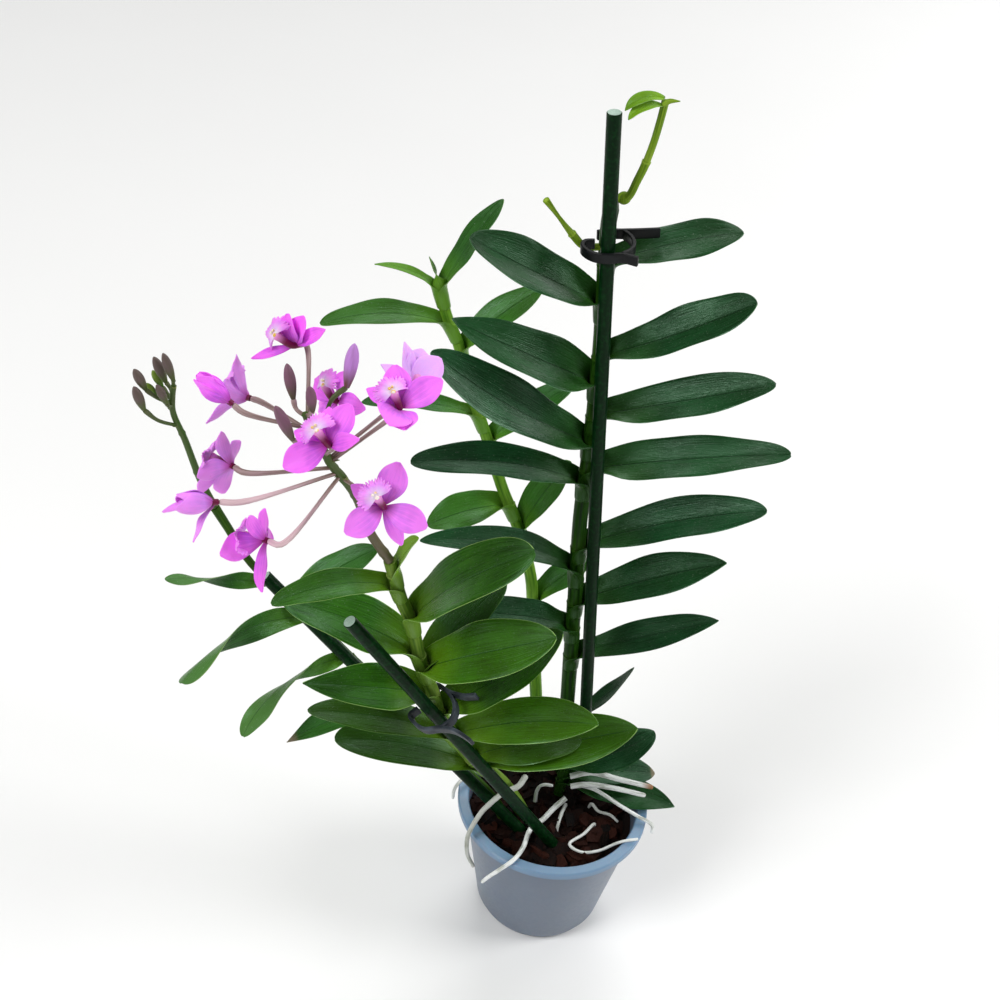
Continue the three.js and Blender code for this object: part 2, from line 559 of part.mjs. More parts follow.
// ---- The aerial roots, in the pot's own frame.
const roots = [
  { radius: [1.9, 1.5], places: [[9, 4, 112], [21.3, 4.8, 115.8], [40.5, 2.3, 113.8], [61.5, 0.9, 110]] },
  { radius: [1.8, 1.5], places: [[10, 1, 106], [19.6, 0.9, 108.8], [34.6, -1.3, 110], [57, -3.4, 107]] },
  { radius: [1.3, 1.1], places: [[17.5, 5.3, 102.5], [25.5, 0, 105.5], [41.2, -9.5, 103],
    [52.8, -14.4, 99.5], [61.5, -17.6, 96.5], [63, -17, 88]] },
  { radius: [1, 0.9], places: [[28, -9, 80], [26.5, -12.2, 87], [20, -20, 86.5], [10.5, -29.5, 87],
    [17.6, -34.9, 87], [28.8, -34.1, 88.5], [38, -32.5, 94], [44, -32, 96.8], [52, -30.5, 97.5]] },
  { radius: [1.9, 1.2], places: [[-21, -11, 126], [-26, -21, 128], [-34, -25, 127], [-39, -28, 124],
    [-43, -30, 120], [-47, -31, 113.5], [-53.5, -37.2, 100], [-53, -40, 86], [-48, -39.2, 72]] },
  { radius: [1.8, 1.1], places: [[8, 0, 96], [0.2, -5.6, 91], [-5.5, -11.5, 88], [-13.3, -19.3, 88],
    [-19, -38, 92], [-26, -53.5, 98.5], [-34, -55, 90], [-39, -51, 78], [-42, -46, 66]] },
  { radius: [1.2, 1], places: [[-46.9, 14.9, 100], [-55.8, 8.3, 101], [-62.5, -0.5, 99], [-63, -1, 90]] },
  { radius: [1.3, 1], places: [[-10, 5, 78], [-10, 4, 98], [-7, 1, 106], [-1.5, -1, 108]] },
  { radius: [1.3, 1], places: [[9.7, 5.8, 78], [9, 2, 87], [6, -6, 87], [4, -13, 86], [3, -17, 78]] },
  { radius: [1.1, 0.9], places: [[24.7, 6.3, 78], [26, 4, 87], [29.8, -1.5, 87], [37.4, -4.1, 87],
    [42.6, -6.9, 84]] },
];
roots.forEach(({ radius: [thick, thin], places }, k) => {
  const curve = route(places);
  const steps = Math.round(1.6 * places.length);
  const name = `aerial_root_${String(k + 1).padStart(2, '0')}`;
  const body = solid(stalk(curve, (t) => mix(thick, thin, t), rootSides, steps));
  addNode(orchid, name, shape(body), rootWhite);
  holeFor(stalk(curve, (t) => mix(thick, thin, t) + fitGap, rootSides, steps), orchid);
});

// ---- The pot and its bark.
const wallTop = rimRadius - lipWidth;
const revolve = (profile, sides) => new THREE.LatheGeometry(
  profile.map(([r, z]) => new THREE.Vector2(r, z)), sides).rotateX(Math.PI / 2);
const innerRadius = (z) => mix(potFootRadius, wallTop, z / (potHeight - lipHeight)) - potWall;

function potShape() {
  return revolve([
    [0, 0], [potFootRadius - 8, 0], [potFootRadius - 2.4, 2], [potFootRadius + 0.6, 8],
    [wallTop, potHeight - lipHeight], [rimRadius, potHeight - lipHeight + 0.6], [rimRadius, potHeight],
    [wallTop - potWall, potHeight], [wallTop - potWall, potHeight - lipHeight], [innerRadius(8), 8],
    [innerRadius(8) - 4, potFloor], [0, potFloor],
  ], potSides);
}
const drainHoles = [0, 60, 120, 180, 240, 300].map((angle) => {
  const hole = new THREE.CylinderGeometry(2, 2, 3 * potFloor, 8).rotateX(Math.PI / 2);
  return solid(hole.translate(24 * Math.cos(rad(angle)), 24 * Math.sin(rad(angle)), 0));
});
const pot = drainHoles.reduce((body, hole) => body.subtract(hole), solid(potShape()));
addNode(orchid, 'pot', shape(pot), potPlastic);

// A seeded draw between two values.
let seed = 7;
function draw(low, high) {
  seed = (seed * 16807) % 2147483647;
  return mix(low, high, seed / 2147483647);
}

// Bark: a plug in the pot with chips sunk in its top.
function barkShape() {
  const edge = (z) => innerRadius(z) - fitGap;
  const plug = revolve([[0, barkFoot], [edge(8) - 5, barkFoot], [edge(10), 10], [edge(barkTop), barkTop],
    [0, barkTop]], potSides);
  const chips = [];
  for (let i = 0; i < 9; i += 1) {
    const away = 43 * Math.sqrt(draw(0, 1));
    const angle = draw(0, 2 * Math.PI);
    const chip = new THREE.BoxGeometry(draw(9, 15), draw(6, 10), draw(3, 5));
    chip.rotateX(draw(-0.5, 0.5)).rotateY(draw(-0.5, 0.5)).rotateZ(draw(0, 3));
    chips.push(chip.translate(away * Math.cos(angle), away * Math.sin(angle), barkTop));
  }
  const body = barkHoles.reduce((rest, hole) => rest.subtract(hole), fuse([plug, ...chips]));
  return body.decompose().sort((a, b) => b.volume() - a.volume())[0];
}
addNode(orchid, 'growing_medium', shape(barkShape()), barkBrown);

export default orchid;
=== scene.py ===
# A reed-stem epidendrum orchid in its pot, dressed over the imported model.
# Lengths are in millimetres until a finished piece is put into the frame's metres.
import bisect
import math
import random
from functools import partial

import bpy
from mathutils import Matrix, Vector


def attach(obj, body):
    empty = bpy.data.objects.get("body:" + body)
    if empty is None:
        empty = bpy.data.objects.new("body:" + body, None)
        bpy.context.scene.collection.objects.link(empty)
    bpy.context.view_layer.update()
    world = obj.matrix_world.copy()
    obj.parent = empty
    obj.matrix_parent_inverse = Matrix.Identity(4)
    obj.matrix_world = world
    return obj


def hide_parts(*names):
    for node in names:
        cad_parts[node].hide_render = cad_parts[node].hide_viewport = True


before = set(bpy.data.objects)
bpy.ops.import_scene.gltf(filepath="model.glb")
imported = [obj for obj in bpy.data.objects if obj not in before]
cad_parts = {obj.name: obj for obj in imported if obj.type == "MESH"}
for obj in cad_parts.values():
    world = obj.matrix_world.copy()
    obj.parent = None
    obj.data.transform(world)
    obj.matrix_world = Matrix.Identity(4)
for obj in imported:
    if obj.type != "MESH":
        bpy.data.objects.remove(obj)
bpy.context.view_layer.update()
bpy.ops.object.select_all(action="DESELECT")
print("frame loaded:", len(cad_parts), "nodes")

# The plant and its stakes lean together towards -X, about the middle of the pot's rim.
plantLean = {"degrees": 5.5, "pivotHeight": 95}
pivot = Vector((0, 0, plantLean["pivotHeight"]))
leanTurn = Matrix.Rotation(-math.radians(plantLean["degrees"]), 4, "Y")
toMetres = Matrix.Scale(0.001, 4)
upright = toMetres
leaning = toMetres @ Matrix.Translation(pivot) @ leanTurn @ Matrix.Translation(-pivot)

# Camera: it looks down on the plant from the front, a little from the left, and is tilted.
cameraView = {
    "place": (-110.77, -684.4, 896.16),
    "azimuth": 4.52,  # degrees to the right of +Y
    "downward": 39.28,
    "tilt": 7.11,
    "lens": 59.4,
    "sensor": 36,
}


def addCamera():
    bpy.ops.object.camera_add()
    camera = bpy.context.object
    turn = Matrix.Rotation(-math.radians(cameraView["azimuth"]), 4, "Z")
    turn = turn @ Matrix.Rotation(math.radians(90 - cameraView["downward"]), 4, "X")
    turn = turn @ Matrix.Rotation(math.radians(cameraView["tilt"]), 4, "Z")
    camera.matrix_world = Matrix.Translation(toMetres @ Vector(cameraView["place"])) @ turn
    camera.data.lens = cameraView["lens"]
    camera.data.sensor_width = cameraView["sensor"]
    bpy.context.scene.camera = camera


addCamera()


# ---- Colours and nodes

def toLinear(colour):
    channels = [int(colour[k:k + 2], 16) / 255 for k in (1, 3, 5)]
    linear = [c / 12.92 if c <= 0.04045 else ((c + 0.055) / 1.055) ** 2.4 for c in channels]
    return (*linear, 1)


# Sets a node's inputs to values, to hex colours, or to the nodes or sockets that feed them.
def feed(node, inputs):
    for name, value in inputs.items():
        if isinstance(value, bpy.types.Node):
            value = next(socket for socket in value.outputs if socket.enabled)
        if isinstance(value, bpy.types.NodeSocket):
            node.id_data.links.new(value, node.inputs[name])
        else:
            node.inputs[name].default_value = toLinear(value) if isinstance(value, str) else value


# Adds one shader node.
def addNode(tree, kind, inputs, **settings):
    node = tree.nodes.new("ShaderNode" + kind)
    for name, value in settings.items():
        setattr(node, name, value)
    feed(node, inputs)
    return node


# Starts a material, and gives a way to add nodes to it and its shader.
def newMaterial(name, **sockets):
    material = bpy.data.materials.new(name)
    material.use_nodes = True
    shader = material.node_tree.nodes["Principled BSDF"]
    feed(shader, {socket.replace("_", " "): value for socket, value in sockets.items()})
    return material, partial(addNode, material.node_tree), shader


# ---- Ways along and round

def mix(low, high, share):
    return low + (high - low) * share


def ease(low, high, value):
    share = min(max((value - low) / (high - low), 0), 1)
    return share * share * (3 - 2 * share)


# The way at an azimuth from +X towards +Y and an elevation above the level.
def direction(azimuth, elevation):
    flat = math.cos(math.radians(elevation))
    azimuth = math.radians(azimuth)
    return Vector((flat * math.cos(azimuth), flat * math.sin(azimuth), math.sin(math.radians(elevation))))


# A point of the centripetal curve between b and c.
def curvePoint(a, b, c, d, share):
    ta = 0
    tb = ta + (b - a).length ** 0.5
    tc = tb + (c - b).length ** 0.5
    td = tc + (d - c).length ** 0.5
    t = mix(tb, tc, share)
    ab = a.lerp(b, (t - ta) / (tb - ta))
    bc = b.lerp(c, (t - tb) / (tc - tb))
    cd = c.lerp(d, (t - tc) / (td - tc))
    abc = ab.lerp(bc, (t - ta) / (tc - ta))
    bcd = bc.lerp(cd, (t - tb) / (td - tb))
    return abc.lerp(bcd, share)


# A smooth line through places, walked by its distance from the first.
class Route:
    stepsBetween = 10

    def __init__(self, places):
        knots = [Vector(place) for place in places]
        knots = [2 * knots[0] - knots[1], *knots, 2 * knots[-1] - knots[-2]]
        self.spots = []
        for a, b, c, d in zip(knots, knots[1:], knots[2:], knots[3:]):
            for step in range(self.stepsBetween):
                self.spots.append(curvePoint(a, b, c, d, step / self.stepsBetween))
        self.spots.append(knots[-2])
        self.reach = [0.0]
        for before, after in zip(self.spots, self.spots[1:]):
            self.reach.append(self.reach[-1] + (after - before).length)
        self.length = self.reach[-1]

    def spot(self, distance):
        k = min(max(bisect.bisect_right(self.reach, distance) - 1, 0), len(self.spots) - 2)
        share = (distance - self.reach[k]) / (self.reach[k + 1] - self.reach[k])
        return self.spots[k].lerp(self.spots[k + 1], share)

    def heading(self, distance):
        near = max(distance - 1, 0)
        far = min(distance + 1, self.length)
        return (self.spot(far) - self.spot(near)).normalized()

    def distanceAt(self, height):
        for k in range(len(self.spots) - 1):
            if self.spots[k].z <= height <= self.spots[k + 1].z:
                share = (height - self.spots[k].z) / (self.spots[k + 1].z - self.spots[k].z)
                return mix(self.reach[k], self.reach[k + 1], share)
        return self.length


# ---- Making and finishing meshes

def applyModifier(piece, kind, **settings):
    modifier = piece.modifiers.new(kind.title(), kind)
    for name, value in settings.items():
        setattr(modifier, name, value)
    bpy.context.view_layer.objects.active = piece
    bpy.ops.object.modifier_apply(modifier=modifier.name)


def editAll(piece, *steps):
    bpy.context.view_layer.objects.active = piece
    bpy.ops.object.mode_set(mode="EDIT")
    bpy.ops.mesh.select_all(action="SELECT")
    for step, settings in steps:
        step(**settings)
    bpy.ops.object.mode_set(mode="OBJECT")


def writeMarks(piece, **marks):
    for name, values in marks.items():
        mark = piece.data.attributes.new(name, "FLOAT", "POINT")
        mark.data.foreach_set("value", values)


# A grid whose points are placed by the way across it, -1 to 1, and their row.
def addSheet(lanes, rows, placeAt):
    bpy.ops.mesh.primitive_grid_add(x_subdivisions=lanes, y_subdivisions=rows, size=2)
    sheet = bpy.context.object
    spots = [(vertex.co.x, round((vertex.co.y + 1) / 2 * rows)) for vertex in sheet.data.vertices]
    for vertex, (across, row) in zip(sheet.data.vertices, spots):
        vertex.co = placeAt(across, row)
    return sheet, spots


# A grid rolled into a tube along a route. Rings are pairs of a distance and a radius, and those of
# no radius close its ends. Its UV map runs once round it and in millimetres along it.
def addTube(route, rings, sides, material, tones=None, knobs=0):
    sideways = route.heading(0).orthogonal().normalized()
    frames = []
    for distance, radius in rings:
        along = route.heading(distance)
        sideways = (sideways - along * sideways.dot(along)).normalized()
        frames.append((route.spot(distance), sideways.copy(), along.cross(sideways), radius))
    bumps = [random.uniform(1 - knobs, 1 + knobs) for _ in rings]

    def placeAt(across, row):
        spot, first, second, radius = frames[row]
        turn = math.pi * across
        return spot + (first * math.cos(turn) + second * math.sin(turn)) * radius * bumps[row]

    tube, spots = addSheet(sides, len(rings) - 1, placeAt)
    writeMarks(tube, tone=[tones[row] if tones else 0 for _, row in spots], dry=[0] * len(spots))
    uv = tube.data.uv_layers[0].data
    for loop in tube.data.loops:
        uv[loop.index].uv.y = rings[spots[loop.vertex_index][1]][0]
    editAll(tube, (bpy.ops.mesh.remove_doubles, {"threshold": 0.002}))
    tube.data.materials.append(material)
    return tube


# Rings from end to end, about a step apart, with a rounded end.
def plainRings(route, radiusAt, step):
    count = max(round(route.length / step), 3)
    rings = [(0, 0)] + [(route.length * (k / count), radiusAt(k / count)) for k in range(count + 1)]
    last = rings[-1][1]
    rings[-1] = (route.length - 0.3 * last, 0.86 * last)
    return rings + [(route.length, 0.45 * last), (route.length, 0)]


def joinParts(parts):
    bpy.ops.object.select_all(action="DESELECT")
    for part in parts:
        part.select_set(True)
    bpy.context.view_layer.objects.active = parts[0]
    if len(parts) > 1:
        bpy.ops.object.join()
    return bpy.context.object


# Joins the parts of a piece, puts it into the frame and hides the model's nodes that it stands for.
def finishPiece(name, parts, place, slotName, *nodes, sharp=45):
    piece = joinParts(parts)
    piece.name = name
    piece.data.name = name
    piece.data.transform(place)
    piece.data.update()
    bpy.ops.object.select_all(action="DESELECT")
    piece.select_set(True)
    bpy.context.view_layer.objects.active = piece
    bpy.ops.object.shade_smooth_by_angle(angle=math.radians(sharp))
    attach(piece, "root")
    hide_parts(*nodes)
    piece.select_set(False)
    return piece


# ---- Leaf materials

leafLooks = {
    # Old leaves of the tall cane: thick, blue-green, with a grey waxy bloom that dulls their gloss.
    "dark": {"sheath": "#24480f", "deep": "#0a2a10", "light": "#164824", "young": "#37691c",
             "rib": "#0d230d", "margin": "#2f5c30", "under": "#3a6642", "marginWidth": 0.008},
    # Younger leaves at the back and on the left: thinner and greener.
    "mid": {"sheath": "#5c8a24", "deep": "#183f10", "light": "#2f6a22", "young": "#6ba32a",
            "rib": "#173a12", "margin": "#6f924c", "under": "#4d7a3c", "marginWidth": 0.008},
    # Leaves of the flowering cane: soft and bright, with a pale translucent margin.
    "bright": {"sheath": "#6d9134", "deep": "#183f06", "light": "#316a0f", "young": "#7fae1e",
               "rib": "#1f4d0a", "margin": "#93b866", "under": "#4e7f2c", "marginWidth": 0.007},
}
# The bud cane's leaves are like them, with darker sheaths.
leafLooks["shaded"] = {**leafLooks["mid"], "sheath": "#2f4f10"}
# The lowest leaves of the flowering cane are old and dark, and their colours are painted darker still:
# painted shade under the leaves above them.
leafLooks["older"] = {**leafLooks["bright"], "deep": "#0a2804", "light": "#1c480a", "margin": "#5c8040"}
ribCount = 26  # ribs across a leaf, about 1 mm apart at its widest


# Living leaf: a leathery skin under a thin wax, satin where it faces the light. The ribs run from
# base to tip and draw together there, so they follow the UV map.
def waxyLeaf(name, look, upper=True):
    material, add, shader = newMaterial(name, IOR=1.45, Specular_Tint="#c4f5d2")
    place = add("UVMap", {}, uv_map="UVMap")
    split = add("SeparateXYZ", {0: place})
    across, along = split.outputs[0], split.outputs[1]
    offset = add("Math", {0: across, 1: 0.5}, operation="SUBTRACT")
    away = add("Math", {0: offset}, operation="ABSOLUTE")
    solid = add("TexCoord", {})
    cloud = add("TexNoise", {"Vector": solid.outputs["Object"], "Scale": 45, "Detail": 3})
    # streaks of about 0.6 mm across and 35 mm along, and finer short ones, 0.4 by 5 mm
    stretched = add("Mapping", {"Vector": place, "Scale": (48, 2.8, 1)})
    streak = add("TexNoise", {"Vector": stretched, "Scale": 1, "Detail": 3})
    short = add("Mapping", {"Vector": place, "Scale": (75, 20, 1)})
    fleck = add("TexNoise", {"Vector": short, "Scale": 1, "Detail": 2})
    shade = add("Math", {0: cloud, 1: streak}, operation="ADD")
    spread = add("MapRange", {"Value": shade, "From Min": 0.75, "From Max": 1.25})
    deep = look["deep" if upper else "under"]
    light = look["light" if upper else "under"]
    blade = add("Mix", {0: spread, 6: deep, 7: light}, data_type="RGBA")
    tone = add("Attribute", {}, attribute_name="tone")
    foot = add("MapRange", {"Value": along, "From Min": 0.1, "From Max": 0.4, "To Min": 0.4, "To Max": 0})
    youth = add("Math", {0: tone.outputs["Fac"], 1: foot}, operation="ADD", use_clamp=True)
    midrib = add("MapRange", {"Value": away, "From Min": 0.004, "From Max": 0.026, "To Min": 0.9,
                 "To Max": 0})
    inside = 0.5 - look["marginWidth"]
    margin = add("MapRange", {"Value": away, "From Min": inside - 0.004, "From Max": inside})
    # dried water spots and dust, about 0.5 mm
    specks = add("TexNoise", {"Vector": solid.outputs["Object"], "Scale": 1300, "Detail": 1})
    dusty = add("MapRange", {"Value": specks, "From Min": 0.68, "From Max": 0.76, "To Max": 0.3})
    dry = add("Attribute", {}, attribute_name="dry")
    # the sheath round the stem takes the stem's colour
    sheathed = add("MapRange", {"Value": along, "From Min": 0.02, "From Max": 0.07, "To Min": 1,
                   "To Max": 0})
    layers = ((youth, look["young"]), (midrib, look["rib"]), (margin, look["margin"]), (dusty, "#9db09a"),
              (dry.outputs["Fac"], "#7d6f58"), (sheathed, look["sheath"]))
    colour = blade
    for share, over in layers:
        colour = add("Mix", {0: share, 6: colour, 7: over}, data_type="RGBA")
    gloss = add("Math", {0: streak, 1: fleck}, operation="ADD")
    dull = add("MapRange", {"Value": gloss, "From Min": 0.75, "From Max": 1.25, "To Min": 0.22,
               "To Max": 0.42})
    turns = add("Math", {0: across, 1: ribCount * 2 * math.pi}, operation="MULTIPLY")
    ribs = add("Math", {0: turns}, operation="SINE")
    faint = add("Math", {0: ribs, 1: streak}, operation="MULTIPLY")
    skin = add("Math", {0: streak, 1: 2, 2: fleck}, operation="MULTIPLY_ADD")
    relief = add("Math", {0: faint, 1: 0.3, 2: skin}, operation="MULTIPLY_ADD")
    groove = add("Math", {0: midrib, 1: -6 if upper else 5, 2: relief}, operation="MULTIPLY_ADD")
    bump = add("Bump", {"Height": groove, "Strength": 0.4, "Distance": 0.00025})
    feed(shader, {"Base Color": colour, "Roughness": dull, "Normal": bump})
    return material


stemLooks = {
    # The sheaths that wrap a reed stem: smooth, a little streaked, pale where each ends.
    "dark": {"deep": "#0c2806", "light": "#25500c", "ring": "#456a22"},
    "mid": {"deep": "#3f7016", "light": "#709f2e", "ring": "#8db04a"},
    "bright": {"deep": "#4c6f22", "light": "#7a9a3a", "ring": "#a3b863"},
    "shaded": {"deep": "#1c3a08", "light": "#3c5f14", "ring": "#5c7a2c"},
    "young": {"deep": "#4f7410", "light": "#86a628", "ring": "#a3c045"},
}


def reedSheath(name, look):
    material, add, shader = newMaterial(name, IOR=1.42, Specular_IOR_Level=0.15)
    place = add("UVMap", {}, uv_map="UVMap")
    # 16 streaks round the stem, each some 30 mm long
    stretched = add("Mapping", {"Vector": place, "Scale": (16, 0.03, 1)})
    streak = add("TexNoise", {"Vector": stretched, "Scale": 1, "Detail": 3})
    spread = add("MapRange", {"Value": streak, "From Min": 0.35, "From Max": 0.65})
    skin = add("Mix", {0: spread, 6: look["deep"], 7: look["light"]}, data_type="RGBA")
    tone = add("Attribute", {}, attribute_name="tone")
    ringed = add("Mix", {0: tone.outputs["Fac"], 6: skin, 7: look["ring"]}, data_type="RGBA")
    dull = add("MapRange", {"Value": streak, "To Min": 0.34, "To Max": 0.55})
    bump = add("Bump", {"Height": streak, "Strength": 0.3, "Distance": 0.0004})
    feed(shader, {"Base Color": ringed, "Roughness": dull, "Normal": bump})
    return material


leafSkins = {}
for tint, look in leafLooks.items():
    underside = waxyLeaf(f"leafUnderside_{tint}", look, upper=False)
    leafSkins[tint] = (waxyLeaf(f"waxyLeaf_{tint}", look), underside)
stemSkins = {tint: reedSheath(f"reedSheath_{tint}", look) for tint, look in stemLooks.items()}
print("leaf and stem materials made")


# ---- Blades: leaves, petals and sepals

# The half-width of a blade, as a share of its greatest, a share of the way along it.
def bladeShare(share, neck, widest, blunt):
    if share < widest:
        return mix(neck, 1, math.sin(math.pi / 2 * share / widest))
    past = (share - widest) / (1 - widest)
    return (1 - past ** 2) ** blunt


# The way along a blade and the way its face looks, a share of the way along it.
def bladeFrame(share, azimuth, rise, droop, sweep, roll, twist):
    along = direction(azimuth + sweep * share, rise - droop * share)
    flatUp = direction(azimuth + sweep * share, rise - droop * share + 90)
    turn = math.radians(roll + twist * share)
    return along, flatUp * math.cos(turn) + flatUp.cross(along) * math.sin(turn)


# The rows of a blade from its foot to its tip: each has its centre, frame, half-width, the
# curvature of its section, its share of the way and its distance along.
def bladeRows(start, shape, count):
    turns = [shape[key] for key in ("azimuth", "rise", "droop", "sweep", "roll", "twist")]
    centre = Vector(start)
    rows = []
    past = 0
    for k in range(count + 1):
        share = 1 - (1 - k / count) ** shape["crowding"]
        middle = bladeFrame((share + past) / 2, *turns)[0]
        centre = centre + middle * shape["length"] * (share - past)
        past = share
        along, up = bladeFrame(share, *turns)
        half = bladeShare(min(share, shape["tipShare"]), shape["neck"], shape["widest"], shape["blunt"])
        rows.append({"centre": centre.copy(), "along": along, "up": up, "half": half * shape["width"] / 2,
                     "curl": shape["curl"] / shape["width"], "share": share, "fold": shape["fold"]})
    return rows


# Turns rows into a thin closed blade with its upper and lower skins.
def addBlade(rows, lanes, look, skins):
    waveStart = [random.uniform(0, 2 * math.pi) for _ in range(2)]
    waves = [random.uniform(0.7, 1.3) * look["waves"] for _ in range(2)]

    def placeAt(across, row):
        here = rows[row]
        across = math.copysign(abs(across) ** look["midCrowding"], across)
        reach = across * here["half"]
        curl = max(here["curl"], 1e-5)
        sideways = math.sin(curl * reach) / curl
        rise = (1 - math.cos(curl * reach)) / curl
        fold = math.tan(math.radians(here["fold"])) * here.get("open", 1)
        rise += fold * (math.hypot(reach, look["crease"]) - look["crease"])
        edge = 0 if across < 0 else 1
        wave = math.sin(waveStart[edge] + here["share"] * 2 * math.pi * waves[edge])
        rise += look["waveHeight"] * wave * across ** 2 * here.get("open", 1)
        side = here["along"].cross(here["up"])
        return here["centre"] + side * sideways + here["up"] * rise

    blade, spots = addSheet(lanes, len(rows) - 1, placeAt)
    drying = look.get("dryTip", 0)
    dry = [ease(1 - drying, 1 - drying / 2, rows[row]["share"]) if drying else 0 for _, row in spots]
    writeMarks(blade, tone=[look["tone"]] * len(spots), dry=dry)
    uv = blade.data.uv_layers[0].data
    for loop in blade.data.loops:
        uv[loop.index].uv.y = rows[spots[loop.vertex_index][1]]["share"]
    for skin in skins:
        blade.data.materials.append(skin)
    applyModifier(blade, "SOLIDIFY", thickness=look["thickness"], offset=0, material_offset=len(skins) - 1)
    applyModifier(blade, "SUBSURF", levels=1, render_levels=1)
    return blade


# A rounded lump.
def addLump(place, size, skin, tone=0.5):
    bpy.ops.mesh.primitive_uv_sphere_add(segments=16, ring_count=12, radius=1)
    lump = bpy.context.object
    lump.data.transform(Matrix.Translation(place) @ Matrix.Diagonal((*size, 1)))
    count = len(lump.data.vertices)
    writeMarks(lump, tone=[tone] * count, dry=[0] * count)
    lump.data.materials.append(skin)
    return lump


# ---- The canes. A leaf's sheath wraps the stem below it, and its blade bends away from there.
leafForm = {"droop": 0, "sweep": 0, "roll": 0, "twist": 0, "fold": 10, "neck": 0.42, "widest": 0.5,
            "blunt": 0.55, "tipShare": 0.9995, "crowding": 1.8, "curl": 0.25}
leafLook = {"thickness": 0.8, "waves": 1.9, "waveHeight": 1.2, "crease": 0.5, "midCrowding": 1.35}
sheathWrap = {"length": 11, "share": 0.8, "clearance": 0.35, "bend": 6, "rows": 3, "bendRows": 4,
              "unrolls": 16}
leafRows = 20
leafLanes = 10
